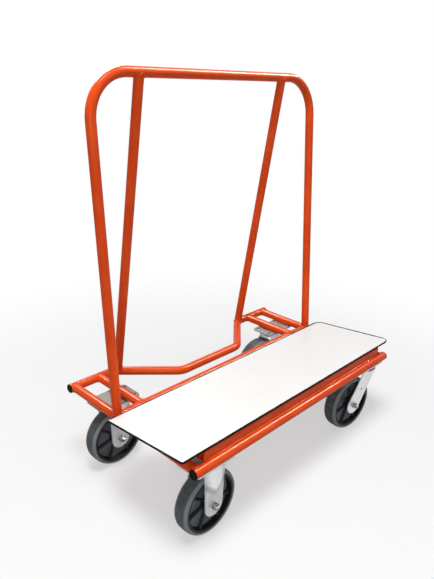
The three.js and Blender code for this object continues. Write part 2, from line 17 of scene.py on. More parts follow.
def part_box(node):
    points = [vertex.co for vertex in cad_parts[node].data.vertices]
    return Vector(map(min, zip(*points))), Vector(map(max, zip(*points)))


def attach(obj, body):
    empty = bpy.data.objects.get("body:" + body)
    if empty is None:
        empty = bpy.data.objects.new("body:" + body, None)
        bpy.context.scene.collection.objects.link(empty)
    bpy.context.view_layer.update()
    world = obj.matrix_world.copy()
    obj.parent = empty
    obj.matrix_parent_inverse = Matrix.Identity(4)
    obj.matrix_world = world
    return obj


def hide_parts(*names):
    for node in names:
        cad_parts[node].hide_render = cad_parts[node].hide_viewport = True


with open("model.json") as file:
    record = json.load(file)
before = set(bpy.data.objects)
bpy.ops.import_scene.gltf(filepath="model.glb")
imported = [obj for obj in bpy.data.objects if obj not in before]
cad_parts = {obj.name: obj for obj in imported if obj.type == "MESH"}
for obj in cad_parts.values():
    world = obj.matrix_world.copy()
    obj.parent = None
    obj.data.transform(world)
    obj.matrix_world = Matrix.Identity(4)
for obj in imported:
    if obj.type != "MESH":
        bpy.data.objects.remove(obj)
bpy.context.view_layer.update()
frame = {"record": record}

MM = 0.001
bodies = frame["record"]["behaviour"]["bodies"]
body_of = {node: body for body, nodes in bodies.items() for node in nodes}

# %% [markdown]
# ## Camera
# The picture was taken from the left front corner, a little below the top rail. A camera can be
# aimed with angles or with three vectors. Vectors are used here, because the columns of a
# camera's rotation are simply the picture's right, the picture's up, and the way back from the
# lens. The focal length is in pixels of the upright picture, whose long side is its height.

# %% Camera
PICTURE_HEIGHT_PX = 579
FOCAL_LENGTH_PX = 557.8
SENSOR_MM = 36.0
CAMERA_PLACE = Vector((-1.3239, -1.1491, 1.2236))
CAMERA_YAW = 0.808
CAMERA_PITCH = -0.361
CAMERA_ROLL = 0.032


def aim(yaw, pitch, roll):
    """Rotation whose columns are right, up and backwards for a heading, a tilt and a roll."""
    forward = Vector((math.sin(yaw), math.cos(yaw), 0)) * math.cos(pitch)
    forward.z = math.sin(pitch)
    level = Vector((math.cos(yaw), -math.sin(yaw), 0))
    upright = level.cross(forward)
    right = level * math.cos(roll) + upright * math.sin(roll)
    up = upright * math.cos(roll) - level * math.sin(roll)
    return Matrix((right, up, -forward)).transposed()


def add_object(name, data):
    """A new object in the scene."""
    thing = bpy.data.objects.new(name, data)
    bpy.context.scene.collection.objects.link(thing)
    return thing


camera_data = bpy.data.cameras.new("portrait_camera")
camera_data.sensor_width = SENSOR_MM
camera_data.lens = SENSOR_MM * FOCAL_LENGTH_PX / PICTURE_HEIGHT_PX
camera = add_object("portrait_camera", camera_data)
turn = aim(CAMERA_YAW, CAMERA_PITCH, CAMERA_ROLL).to_4x4()
camera.matrix_world = Matrix.Translation(CAMERA_PLACE) @ turn
bpy.context.scene.camera = camera
print(f"camera with a {camera_data.lens:.1f} mm lens")

# %% [markdown]
# ## Shader maths as plain expressions
# A node tree can be wired by hand, but a formula is easier to read. This small class wraps one
# socket, and each operator on it adds one Math node, so `1 - mask` or `0.3 + 0.1 * grain` draws
# the nodes by itself. Every other node comes from `make`, which takes the node's type, its
# settings, and what goes into its sockets.

# %% Wires
class Wire:
    """A shader socket that Python's arithmetic can use: each operator adds one Math node."""

    def __init__(self, tree, socket):
        self.tree = tree
        self.socket = socket

    def make(self, kind, settings=None, sockets=None, output=0):
        """Adds a node: its settings first, then a value or a link for each socket."""
        node = self.tree.nodes.new(kind)
        for key, value in (settings or {}).items():
            setattr(node, key, value)
        for key, value in (sockets or {}).items():
            if isinstance(value, Wire):
                self.tree.links.new(value.socket, node.inputs[key])
            else:
                node.inputs[key].default_value = value
        return Wire(self.tree, node.outputs[output])

    def math(self, operation, first, second=0.0):
        """One Math node on two values or wires."""
        return self.make("ShaderNodeMath", {"operation": operation}, {0: first, 1: second})

    def __add__(self, other):
        return self.math("ADD", self, other)

    def __sub__(self, other):
        return self.math("SUBTRACT", self, other)

    def __rsub__(self, other):
        return self.math("SUBTRACT", other, self)

    def __mul__(self, other):
        return self.math("MULTIPLY", self, other)

    __radd__ = __add__
    __rmul__ = __mul__

    def larger(self, other):
        """The larger of two values."""
        return self.math("MAXIMUM", self, other)

    def ramp(self, low, high):
        """0 below low, 1 above high, and an S-curve between them."""
        limits = {"From Min": low, "From Max": high, "Value": self}
        return self.make("ShaderNodeMapRange", {"interpolation_type": "SMOOTHSTEP"}, limits)

    def blend(self, colour, other):
        """The first colour where this value is 0, the other where it is 1."""
        sockets = {0: self, 6: colour, 7: other}
        return self.make("ShaderNodeMix", {"data_type": "RGBA"}, sockets, output=2)


print("shader maths ready")

# %% [markdown]
# ## Patterns and finishes
# No real surface is quite even. A picture could be wrapped round each part, but it would bring its
# own light and its own seams, so the changes come from noise that fills space. It reads the
# object's coordinates in metres, which gives every speck a true size. A finish is one Principled
# shader: what is the same all over is set on its sockets, and what changes is fed to them.

# %% Patterns and finishes
def noise(place, scale, detail=3.0, stretch=(1, 1, 1)):
    """Cloudy values about 0.5, with `scale` features to the metre, squeezed along each axis."""
    spread = place.make("ShaderNodeMapping", None, {"Vector": place, "Scale": stretch})
    sockets = {"Vector": spread, "Scale": scale, "Detail": detail}
    return place.make("ShaderNodeTexNoise", None, sockets)


def cells(place, scale):
    """Patches with straight sides, `scale` of them to the metre: the distance to a patch's seed."""
    sockets = {"Vector": place, "Scale": scale}
    return place.make("ShaderNodeTexVoronoi", None, sockets, "Distance")


class Finish:
    """A material with one Principled shader; constants go straight onto its sockets."""

    def __init__(self, name, **constants):
        self.material = bpy.data.materials.new(name)
        self.material.use_nodes = True
        self.tree = self.material.node_tree
        self.shader = self.tree.nodes["Principled BSDF"]
        for key, value in constants.items():
            self.shader.inputs[key.replace("_", " ")].default_value = value
        coordinates = self.tree.nodes.new("ShaderNodeTexCoord")
        self.place = Wire(self.tree, coordinates.outputs["Object"])

    def attribute(self, name):
        """A value that the mesh carries at each of its points."""
        return self.place.make("ShaderNodeAttribute", {"attribute_name": name}, None, "Fac")

    def feed(self, socket, wire):
        """Links a value or colour that changes over the surface to a socket of the shader."""
        self.tree.links.new(wire.socket, self.shader.inputs[socket])

    def bump(self, height, depth):
        """Dents the shading normal by a height in units of `depth` metres."""
        sockets = {"Height": height, "Distance": depth, "Strength": 1.0}
        self.feed("Normal", self.place.make("ShaderNodeBump", None, sockets))


print("patterns and finishes ready")

# %% [markdown]
# ## Powder coat
# The frame wears a thick, glossy orange powder coat over the welds and all. Powder flows out with
# a faint orange peel of a few millimetres and small changes of gloss, and one flat colour would look
# like plastic beside it. A clear coat on the Principled shader gives the sharp streak of light over
# a softer one, and the noises do the rest: a broad one for tone, a fine one for the peel and the
# finest for single specks.

# %% Powder coat
ORANGE_LIT = (0.86, 0.086, 0.010, 1)
ORANGE_DEEP = (0.76, 0.066, 0.008, 1)
GLOSS_TINT = (1.0, 0.62, 0.18, 1)


def make_powder_coat():
    """Roughness is a base plus a share of the tone and of the specks."""
    coat = Finish("orange_powder_coat", Coat_Weight=0.16, Coat_Roughness=0.13,
                  Specular_IOR_Level=0.05, Specular_Tint=GLOSS_TINT)
    tone = noise(coat.place, scale=9, detail=4)
    peel = noise(coat.place, scale=420, detail=1)
    speck = noise(coat.place, scale=1500, detail=0)
    coat.feed("Base Color", tone.ramp(low=0.35, high=0.68).blend(ORANGE_LIT, ORANGE_DEEP))
    coat.feed("Roughness", 0.24 + 0.14 * tone + 0.06 * speck)
    coat.bump(peel + 0.25 * speck, depth=0.12 * MM)
    return coat.material


finish_of = {"frame_paint": [make_powder_coat()]}
print("made", finish_of["frame_paint"])

# %% [markdown]
# ## Meshes from arrays
# A surface is a function of two parameters, so its points fill a grid of rows and columns, and the
# faces are the quads between neighbours. Points could be added one at a time, but whole arrays are
# shorter to write and much faster. A closed direction joins its last line to its first, as round a
# tube.

# %% Grids
def grid(points, close_rows=False, close_columns=False):
    """Quads over an array of points (rows, columns, 3), wrapping round a closed direction."""
    rows, columns = points.shape[:2]
    i = np.arange(rows if close_rows else rows - 1)[:, None]
    j = np.arange(columns if close_columns else columns - 1)[None, :]
    below = (i + 1) % rows
    beside = (j + 1) % columns
    corners = (i * columns + j, i * columns + beside, below * columns + beside, below * columns + j)
    quads = np.stack(np.broadcast_arrays(*corners), axis=-1)
    return points.reshape(-1, 3), quads.reshape(-1, 4)


def joined(surfaces):
    """Several surfaces as one, with each one's faces numbered after the points before it."""
    counts = [len(points) for points, _ in surfaces]
    starts = np.cumsum([0] + counts[:-1])
    points = np.concatenate([points for points, _ in surfaces])
    quads = np.concatenate([quads + start for (_, quads), start in zip(surfaces, starts)])
    return points, quads


def unit(vectors):
    """Vectors divided by their own lengths."""
    return vectors / np.linalg.norm(vectors, axis=-1, keepdims=True)


print("grids ready")

# %% [markdown]
# ## Pieces that stand for solids
# The solids could be shown as they are, but their edges are sharp and their rounds have few faces.
# So a finished piece takes the place of a solid. It has to move with it, and therefore rides on its
# body, fills its material slot and hides it. Lines that shrink to a point, as at the pole of a
# turned shape, are merged first, and then the faces are made to point out. Pieces cut from sheet
# also get a small live bevel, because real edges catch a line of light.

# %% Pieces
MERGE_DISTANCE = 0.002 * MM
SHARP_ANGLE = math.radians(38)
BEVEL_ANGLE = math.radians(50)
BEVEL_SEGMENTS = 2


def clean(mesh):
    """Merges points that coincide, turns all faces outwards, and smooths all but sharp edges."""
    shape = bmesh.new()
    shape.from_mesh(mesh)
    bmesh.ops.remove_doubles(shape, verts=shape.verts, dist=MERGE_DISTANCE)
    bmesh.ops.recalc_face_normals(shape, faces=shape.faces)
    shape.to_mesh(mesh)
    shape.free()
    mesh.shade_smooth()
    mesh.set_sharp_from_angle(angle=SHARP_ANGLE)


def round_edges(piece, width):
    """A live bevel along the edges that bend by more than a limit."""
    rounding = piece.modifiers.new("edge_rounding", "BEVEL")
    rounding.width = width
    rounding.segments = BEVEL_SEGMENTS
    rounding.angle_limit = BEVEL_ANGLE
    rounding.harden_normals = True


def add_piece(name, surface, slot, nodes, zones=None, bands=None, bevel=0.0):
    """Makes a mesh piece that stands for CAD nodes and wears the finish of their slot. Zones number
    each quad's finish where a slot has two, and bands give each point a value that a finish can
    read as the attribute `band`."""
    points, quads = surface
    mesh = bpy.data.meshes.new(name)
    mesh.from_pydata(points, [], quads)
    for finish in finish_of[slot]:
        mesh.materials.append(finish)
    if zones is not None:
        mesh.polygons.foreach_set("material_index", zones.astype(np.int32))
    if bands is not None:
        band = mesh.attributes.new("band", "FLOAT", "POINT")
        band.data.foreach_set("value", bands.astype(np.float32))
    clean(mesh)
    piece = add_object(name, mesh)
    if bevel:
        round_edges(piece, bevel)
    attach(piece, body_of[nodes[0]])
    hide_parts(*nodes)


def middle(node):
    """The middle of a solid's box."""
    low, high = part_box(node)
    return (low + high) / 2


def span(node):
    """The sides of a solid's box."""
    low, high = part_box(node)
    return high - low


print("pieces ready")

# %% [markdown]
# ## Bent tube
# The frame is bent from round tube. A curve object with a bevel would give the outside only and
# could not be cut to fit, so a tube is worked out as circles set along a centre line. The line is a
# list of corners, and a bend replaces each corner by an arc that touches both straight runs.

# %% Bent tube
TUBE_SIDES = 40
BEND_STEPS = 14
NEARLY_STRAIGHT = 1e-6
NO_TUBE_WAY = (0.31, 0.47, 0.83)


def full_turn(steps):
    """Angles at even steps round a full turn."""
    return np.linspace(0, 2 * np.pi, steps, endpoint=False)


def bent_line(corners, bend_r):
    """Stations and headings along straight runs joined by round bends.

    After a turn a, the bend's station is start + bend_r * (sin a * before + (1 - cos a) * inward).
    """
    corners = np.asarray(corners, float)
    headings = unit(np.diff(corners, axis=0))
    stations = [corners[:1]]
    ways = [headings[:1]]
    for corner, before, after in zip(corners[1:-1], headings[:-1], headings[1:]):
        turn = math.acos(float(before @ after))
        inward = (after - before * math.cos(turn)) / math.sin(turn)
        start = corner - before * bend_r * math.tan(turn / 2)
        angle = np.linspace(0, turn, BEND_STEPS + 1)[:, None]
        stations.append(start + bend_r * (np.sin(angle) * before + (1 - np.cos(angle)) * inward))
        ways.append(np.cos(angle) * before + np.sin(angle) * inward)
    stations.append(corners[-1:])
    ways.append(headings[-1:])
    return np.concatenate(stations), np.concatenate(ways)


def rings(stations, headings, radius):
    """Circles square to each heading: station + radius * (cos f * side + sin f * lift). The side
    is square to the plane of the bends, or any way square to a straight tube."""
    bends = np.cross(headings[0], headings)
    widest = bends[np.argmax(np.linalg.norm(bends, axis=1))]
    if np.linalg.norm(widest) < NEARLY_STRAIGHT:
        widest = np.cross(headings[0], NO_TUBE_WAY)
    side = unit(widest)
    lift = np.cross(headings, side)
    f = full_turn(TUBE_SIDES)[None, :, None]
    return stations[:, None] + radius * (np.cos(f) * side + np.sin(f) * lift[:, None])


print(f"tubes with {TUBE_SIDES} sides")

# %% [markdown]
# ## Fitted ends
# Where a tube is welded to another, its mate, its end is cut to a fish mouth. A boolean could cut
# it, but would leave ragged faces. Here each line along the tube runs on until it meets the round
# mate, at a length that a quadratic gives. A tube is one closed wall, out along the outside and
# back along the bore, and its end sinks a little into the mate, where the weld covers it.

# %% Fitted ends
TUBE_WALL = 2 * MM
WELD_SINK = 0.8 * MM


def fitted(ring, heading, mate, sink):
    """Slides a ring along its heading to the near side of a round mate: the length s solves
    |across(p + s * heading)| = radius, where across() is square to the mate's axis."""
    point, axis, radius = mate
    gap = ring - point
    gap = gap - np.outer(gap @ axis, axis)
    way = heading - (heading @ axis) * axis
    a = way @ way
    b = gap @ way
    c = (gap * gap).sum(axis=1) - (radius - sink) ** 2
    length = (-b - np.sqrt(np.maximum(b * b - a * c, 0))) / a
    return ring + length[:, None] * heading


def tube_wall(corners, radius, bend_r=0.0, start=None, end=None):
    """A tube as one closed wall, and its seams: the curves on its outside where it meets its mates,
    each with the ways out from the tube's axis."""
    stations, headings = bent_line(corners, bend_r)
    outer = rings(stations, headings, radius)
    bore = rings(stations, headings, radius - TUBE_WALL)
    seams = []
    for mate, index, way in ((start, 0, -headings[0]), (end, -1, headings[-1])):
        if mate:
            seams.append((fitted(outer[index], way, mate, 0), outer[index] - stations[index]))
            outer[index] = fitted(outer[index], way, mate, WELD_SINK)
            bore[index] = fitted(bore[index], way, mate, WELD_SINK)
    return grid(np.concatenate([outer, bore[::-1]]), True, True), seams


print(f"tube walls of {TUBE_WALL / MM:.0f} mm")

# %% [markdown]
# ## Where the tubes run
# Three rails run across the cart, the side and inner tubes join them, the hoop stands on the side
# tubes, and two braces tie its top to the rear rail. The lines could be typed in, but the solids
# already know them, so they come from the solids' boxes. Only the rear rail's step towards the deck
# doesn't show in a box.

# %% Measured lines
JOG_OUTER_X = 318 * MM
JOG_INNER_X = 143.5 * MM
JOG_BEND_R = 60 * MM

tube_r = span("front_rail").z / 2
base_z = middle("front_rail").z
rail_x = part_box("front_rail")[1].x
front_y = middle("front_rail").y
middle_y = middle("middle_rail").y
rear_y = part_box("rear_rail")[1].y - tube_r
jog_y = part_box("rear_rail")[0].y + tube_r
side_x = middle("right_side_tube").x
inner_x = middle("right_rear_stringer").x
brace_x = middle("right_brace").x
hoop_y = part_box("upright_hoop")[1].y - tube_r
hoop_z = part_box("upright_hoop")[1].z - tube_r

rear_corners = [
    (-rail_x, rear_y, base_z),
    (-JOG_OUTER_X, rear_y, base_z),
    (-JOG_INNER_X, jog_y, base_z),
    (JOG_INNER_X, jog_y, base_z),
    (JOG_OUTER_X, rear_y, base_z),
    (rail_x, rear_y, base_z),
]
hoop_corners = [
    (-side_x, middle_y, base_z),
    (-side_x, hoop_y, hoop_z),
    (side_x, hoop_y, hoop_z),
    (side_x, middle_y, base_z),
]
print(f"{2 * tube_r / MM:.0f} mm tube, rails of {2 * rail_x / MM:.0f} mm")

# %% [markdown]
# ## Mates
# A tube's end is shaped by the tube that it meets, so each mate is written as a point on its axis,
# the axis, and its radius. Most mates are straight. The braces stand on the rear rail close to its
# bends, so there the nearest station of the bent line serves as the mate.

# %% Mates
ACROSS = np.array((1.0, 0, 0))
DEEP = np.array((0, 1.0, 0))
UP = np.array((0, 0, 1.0))


def across_mate(y, z):
    """A mate that runs across the cart."""
    return np.array((0, y, z)), ACROSS, tube_r


def side_mate(side):
    """The side tube on the left (-1) or on the right (1)."""
    return np.array((side * side_x, 0, base_z)), DEEP, tube_r


def rear_mate_at(x):
    """The rear rail near a given x, where it may be in the middle of a bend."""
    nearest = np.argmin(np.abs(rear_line[:, 0] - x))
    return rear_line[nearest], rear_headings[nearest], tube_r


rear_line, rear_headings = bent_line(rear_corners, JOG_BEND_R)
front_mate = across_mate(front_y, base_z)
middle_mate = across_mate(middle_y, base_z)
rear_mate = across_mate(rear_y, base_z)
hoop_mate = across_mate(hoop_y, hoop_z)
print(f"rear rail with {len(rear_line)} stations")

# %% [markdown]
# ## The frame's tubes
# Each tube is now a line of corners and, where it has them, a bend and two mates. Left and right
# mirror each other, so one loop writes both. A table of tubes keeps the making in one place, and
# the seams that come back are kept for the welds.

# %% Frame tubes
HOOP_BEND_R = 125 * MM
SIDES = {"left": -1, "right": 1}


def crosswise(reach, y):
    """Corners of a straight rail from -reach to reach."""
    return [(-reach, y, base_z), (reach, y, base_z)]


def lengthwise(x, from_y, to_y):
    """Corners of a straight tube from front to rear."""
    return [(x, from_y, base_z), (x, to_y, base_z)]


between_sides = {"start": side_mate(-1), "end": side_mate(1)}
tubes = {
    "front_rail": (crosswise(rail_x, front_y), {}),
    "rear_rail": (rear_corners, {"bend_r": JOG_BEND_R}),
    "middle_rail": (crosswise(side_x, middle_y), between_sides),
    "upright_hoop": (hoop_corners, {"bend_r": HOOP_BEND_R, **between_sides}),
}
for side_name, side in SIDES.items():
    foot = rear_mate_at(side * brace_x)
    top = (side * brace_x, hoop_y, hoop_z)
    tubes[f"{side_name}_side_tube"] = (
        lengthwise(side * side_x, front_y, rear_y), {"start": front_mate, "end": rear_mate})
    tubes[f"{side_name}_rear_stringer"] = (
        lengthwise(side * inner_x, middle_y, rear_y), {"start": middle_mate, "end": rear_mate})
    tubes[f"{side_name}_deck_crosstube"] = (
        lengthwise(side * inner_x, front_y, middle_y), {"start": front_mate, "end": middle_mate})
    tubes[f"{side_name}_brace"] = ([tuple(foot[0]), top], {"start": foot, "end": hoop_mate})

seams = []
for node, (corners, fit) in tubes.items():
    wall, ends = tube_wall(corners, tube_r, **fit)
    add_piece(f"{node}_wall", wall, "frame_paint", [node])
    seams += ends
print(f"{len(tubes)} tubes with {len(seams)} welded ends")

# %% [markdown]
# ## Weld beads round the joints
# Each fitted end is closed with a weld that runs round the joint. A welder lays it down as a chain
# of small overlapping pools, so the bead swells a little once per pool. A bump in the paint would
# be flat at the outline, so the bead is a real surface: the path is the joint's own curve, spaced
# evenly along its length, and a circle is carried along it. The beads were coated with the tubes.

# %% Joint beads
BEAD_R = 2.7 * MM
BEAD_SIDES = 9
POOL_PITCH = 3.6 * MM
POOL_SWELL = 0.16
STEPS_PER_POOL = 5


def evenly(path, values, count):
    """Points spaced evenly along a closed path, and the values that belong to them."""
    loop = np.concatenate([path, path[:1]])
    marks = np.concatenate([values, values[:1]])
    length = np.concatenate([[0], np.cumsum(np.linalg.norm(np.diff(loop, axis=0), axis=1))])
    wanted = np.linspace(0, length[-1], count, endpoint=False)
    points = np.stack([np.interp(wanted, length, column) for column in loop.T], axis=1)
    beside = np.stack([np.interp(wanted, length, column) for column in marks.T], axis=1)
    return points, beside


def pools(count):
    """The swelling of the bead, one rounded hump per pool."""
    phase = np.arange(count) / STEPS_PER_POOL
    return 1 - POOL_SWELL / 2 + POOL_SWELL * np.abs(np.sin(np.pi * phase))


def bead_rings(path, headings, outward, swell):
    """Circles of radius BEAD_R * swell along a path, in the plane square to each heading."""
    out = unit(outward - (outward * headings).sum(axis=1, keepdims=True) * headings)
    side = np.cross(headings, out)
    g = full_turn(BEAD_SIDES)[None, :, None]
    circle = np.cos(g) * out[:, None] + np.sin(g) * side[:, None]
    return path[:, None] + BEAD_R * swell[:, None, None] * circle


def loop_bead(path, outward):
    """A bead round a closed joint."""
    length = np.linalg.norm(np.diff(path, axis=0, append=path[:1]), axis=1).sum()
    count = STEPS_PER_POOL * round(length / POOL_PITCH)
    points, beside = evenly(path, outward, count)
    headings = unit(np.roll(points, -1, axis=0) - np.roll(points, 1, axis=0))
    return grid(bead_rings(points, headings, beside, pools(count)), True, True)


joint_beads = [loop_bead(path, outward) for path, outward in seams]
add_piece("joint_weld_beads", joined(joint_beads), "frame_paint", ["upright_hoop"])
print(f"{len(joint_beads)} joint beads")

# %% [markdown]
# ## Straight weld beads
# The caster plates are welded to the tubes above them with short straight runs, and so is the
# square tube that carries the deck, which also has one long run where it meets the front rail. Plain
# rods would end in hard discs, so the same circles are carried along a straight path here, and
# shrink to nothing at both ends, as a weld does where it starts and stops.

# %% Straight beads
PLATE_BEAD_OFFSET = 6.5 * MM
PLATE_BEAD_RISE = 1.0 * MM
PLATE_BEAD_REACH = 36 * MM
SUPPORT_BEAD_REACH = 8 * MM
SUPPORT_BEAD_MARGIN = 6 * MM
MIRRORED = np.array((-1, 1, 1))


def run_bead(start, end):
    """A straight bead that rises from nothing at both ends: its height follows 1 - (2t - 1)^6."""
    count = STEPS_PER_POOL * round(np.linalg.norm(end - start) / POOL_PITCH) + 1
    t = np.linspace(0, 1, count)
    path = start + t[:, None] * (end - start)
    headings = np.broadcast_to(unit(end - start), path.shape)
    swell = pools(count) * np.sqrt(np.maximum(1 - (2 * t - 1) ** 6, 0))
    return grid(bead_rings(path, headings, np.broadcast_to(UP, path.shape), swell), False, True)


def bead_about(x, y, z, reach):
    """A straight bead that reaches equally far on both sides of a point."""
    point = np.array((x, y, z))
    return run_bead(point - reach, point + reach)


plate_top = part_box("front_left_fork")[1].z
bead_z = plate_top + PLATE_BEAD_RISE
seat_beads = []
for plate in ("front_left_fork", "rear_left_fork", "front_right_top_plate", "rear_right_top_plate"):
    centre = middle(plate)
    side = math.copysign(1, centre.x)
    for x in (inner_x - PLATE_BEAD_OFFSET, inner_x + PLATE_BEAD_OFFSET, side_x - PLATE_BEAD_OFFSET):
        seat_beads.append(bead_about(side * x, centre.y, bead_z, PLATE_BEAD_REACH * DEEP))
    if centre.y < middle_y:
        rail_edge = front_y + PLATE_BEAD_OFFSET
        seat_beads.append(bead_about(centre.x, rail_edge, bead_z, PLATE_BEAD_REACH * ACROSS))

support_low, support_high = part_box("deck_support_tube")
for side in SIDES.values():
    for y in (support_low.y, support_high.y):
        reach = SUPPORT_BEAD_REACH * ACROSS
        seat_beads.append(bead_about(side * inner_x, y, support_low.z, reach))
seam_x = support_high.x - SUPPORT_BEAD_MARGIN
seam_end = np.array((seam_x, support_low.y, support_low.z + BEAD_R / 2))
seat_beads.append(run_bead(seam_end * MIRRORED, seam_end))
add_piece("seat_weld_beads", joined(seat_beads), "frame_paint", ["front_rail"])
print(f"{len(seat_beads)} straight beads")

# %% [markdown]
# ## Finishes for board and plugs
# The deck is a board with a satin white laminate on both faces and a black edge band. The laminate
# has a fine pebble and a few faint rub marks along its length, so one of its noises is stretched
# that way. The plugs in the rail ends are moulded black plastic, which is dull with a little fine
# grain. Band and plugs differ only in that grain, so one function makes both.

# %% Board and plug finishes
LAMINATE_WHITE = (0.87, 0.87, 0.865, 1)
LAMINATE_RUBBED = (0.80, 0.80, 0.79, 1)
BAND_BLACK = (0.004, 0.004, 0.004, 1)
BAND_WORN = (0.012, 0.012, 0.013, 1)
ALONG_THE_BOARD = (0.15, 1.6, 1)


def make_laminate():
    """Tone and roughness each add a share of the rub marks and of a broad cloud."""
    board = Finish("white_laminate", Specular_IOR_Level=0.35)
    pebble = noise(board.place, scale=900, detail=1)
    streaks = noise(board.place, scale=30, detail=4, stretch=ALONG_THE_BOARD)
    rubs = streaks.ramp(low=0.60, high=0.78)
    cloud = noise(board.place, scale=5, detail=3)
    board.feed("Base Color", (0.55 * rubs + 0.25 * cloud).blend(LAMINATE_WHITE, LAMINATE_RUBBED))
    board.feed("Roughness", 0.36 + 0.12 * cloud + 0.10 * rubs)
    board.bump(pebble, depth=0.05 * MM)
    return board.material


def make_black_plastic(name, grain_scale):
    """Black, a little paler where it is scuffed, with a grain that also roughens it."""
    plastic = Finish(name, Specular_IOR_Level=0.04)
    grain = noise(plastic.place, grain_scale, detail=2)
    scuff = noise(plastic.place, scale=60, detail=4).ramp(low=0.52, high=0.75)
    plastic.feed("Base Color", (0.6 * scuff).blend(BAND_BLACK, BAND_WORN))
    plastic.feed("Roughness", 0.42 + 0.25 * grain)
    plastic.bump(grain, depth=0.06 * MM)
    return plastic.material


edge_band = make_black_plastic("black_edge_band", grain_scale=700)
finish_of["deck_laminate"] = [make_laminate(), edge_band]
finish_of["end_cap"] = [make_black_plastic("black_plug_plastic", grain_scale=1100)]
print("made", finish_of["deck_laminate"], finish_of["end_cap"])

# %% [markdown]
# ## Rounded rectangles
# The deck board and the square tube under it are both rounded rectangles, one as an outline and one
# as a section. A bevelled box would do, but here each point is a corner's centre plus a radius
# times a direction. An inset then only shortens the radius, so that all insets stay parallel and
# have the same number of points.

# %% Rounded rectangles
CORNER_STEPS = 12


def rounded_rectangle(half_x, half_y, left_r, right_r):
    """Corner centres, directions and radii round a rectangle, from its lower left corner on."""
    radius = np.repeat([left_r, right_r, right_r, left_r], CORNER_STEPS + 1)
    sign_x = np.repeat([-1, 1, 1, -1], CORNER_STEPS + 1)
    sign_y = np.repeat([-1, -1, 1, 1], CORNER_STEPS + 1)
    sweep = np.tile(np.linspace(0, np.pi / 2, CORNER_STEPS + 1), 4)
    angle = sweep + np.repeat(np.pi * np.array([1, 1.5, 2, 2.5]), CORNER_STEPS + 1)
    centres = np.stack([sign_x * (half_x - radius), sign_y * (half_y - radius)], axis=1)
    return centres, np.stack([np.cos(angle), np.sin(angle)], axis=1), radius


print(f"rounded rectangles with {4 * (CORNER_STEPS + 1)} points")

# %% [markdown]
# ## Deck board
# The board's corners are sharper on the left than on the right. A black band covers its edge, set
# off by a fine groove, and is folded wider over the top along the rear and the right. The band could
# be a strip of its own, but as part of the same grid it leaves no gap. The rows of that grid walk
# from the middle of the top face out to the band, over the rounded edge, and back to the middle
# below, so the rows tell which faces belong to the band. The board's place and slope come from its
# mount.

# %% Deck board
LEFT_CORNER_R = 8 * MM
RIGHT_CORNER_R = 32 * MM
BOARD_THICKNESS = 6 * MM
BOARD_WIDTH = 330 * MM
BAND_WIDTH = 3 * MM
FAR_FOLD = 6.5 * MM
EDGE_ROUND = 1.6 * MM
EDGE_STEPS = 5
GROOVE = 0.3 * MM
INSET_LIMIT = 0.9
FACE_ROWS = 4


def edge_profile():
    """(inset, height) steps over the board's edge: the groove, a quarter round, and its mirror."""
    angle = np.linspace(0, np.pi / 2, EDGE_STEPS)
    over = EDGE_ROUND * np.stack([1 - np.sin(angle), np.cos(angle) - 1], axis=1)
    under = over[::-1] * (1, -1) + (0, -BOARD_THICKNESS)
    groove = [(BAND_WIDTH, 0), (BAND_WIDTH - GROOVE, -GROOVE), (BAND_WIDTH - 2 * GROOVE, 0)]
    return np.concatenate([groove, over, under, [(BAND_WIDTH, -BOARD_THICKNESS)]])


def board_surface(half_x, half_y):
    """The plan and height of each row, and the rows of the band: a row of the edge is
    centre + (radius - inset) * direction, and the faces shrink their first and last row."""
    centres, ways, radius = rounded_rectangle(half_x, half_y, LEFT_CORNER_R, RIGHT_CORNER_R)
    profile = edge_profile()
    beyond_round = profile[:, :1] > EDGE_ROUND
    fold = FAR_FOLD * np.clip(ways.sum(axis=1), 0, 1)
    inset = np.minimum(profile[:, :1] + beyond_round * fold, INSET_LIMIT * radius)
    edge = centres + (radius - inset)[..., None] * ways
    shrink = np.linspace(0, 1, FACE_ROWS + 1)[:-1, None, None]
    plan = np.concatenate([edge[0] * shrink, edge, edge[-1] * shrink[::-1]])
    top = np.zeros(FACE_ROWS)
    bottom = np.full(FACE_ROWS, -BOARD_THICKNESS)
    height = np.concatenate([top, profile[:, 1], bottom])
    return plan, height, range(FACE_ROWS, FACE_ROWS + len(profile) - 1)


deck_mount = frame["record"]["mounts"][0]
deck_up = np.array(deck_mount["axis"])
deck_slope = np.cross(deck_up, ACROSS)
deck_plan, deck_height, band_rows = board_surface(span("deck_board").x / 2, BOARD_WIDTH / 2)
deck_points = (
    np.array(deck_mount["pos_m"])
    + deck_plan[..., :1] * ACROSS
    + deck_plan[..., 1:] * deck_slope
    + deck_height[:, None, None] * deck_up
)
deck_zones = np.isin(np.arange(len(deck_points) - 1), band_rows).repeat(deck_points.shape[1])
deck_surface = grid(deck_points, False, True)
add_piece("deck_panel", deck_surface, "deck_laminate", ["deck_board"], zones=deck_zones)
print(f"deck board tilted {math.degrees(math.acos(deck_up[2])):.1f} degrees")

# %% [markdown]
# ## Deck support
# The front edge of the deck lies on a square tube that is welded across the inner tubes. Its section
# is the same kind of rounded rectangle as the board's outline, once outside and once inset by the
# wall. A Solidify modifier could thicken one shell, but four such loops, along the outside and back
# through the bore, close the wall without one.

# %% Deck support
SUPPORT_CORNER_R = 4 * MM


def square_tube(place, half, half_length):
    """A tube along X: rows outside left, outside right, bore right and bore left, closed round."""
    centres, ways, radius = rounded_rectangle(half, half, SUPPORT_CORNER_R, SUPPORT_CORNER_R)
    outside = centres + radius[:, None] * ways
    bore = centres + (radius[:, None] - TUBE_WALL) * ways
    loops = np.stack([outside, outside, bore, bore])
    ends = half_length * np.array([-1, 1, 1, -1])[:, None, None]
    points = np.concatenate([np.broadcast_to(ends, loops.shape[:2] + (1,)), loops], axis=-1)
    return grid(np.asarray(place) + points, True, True)


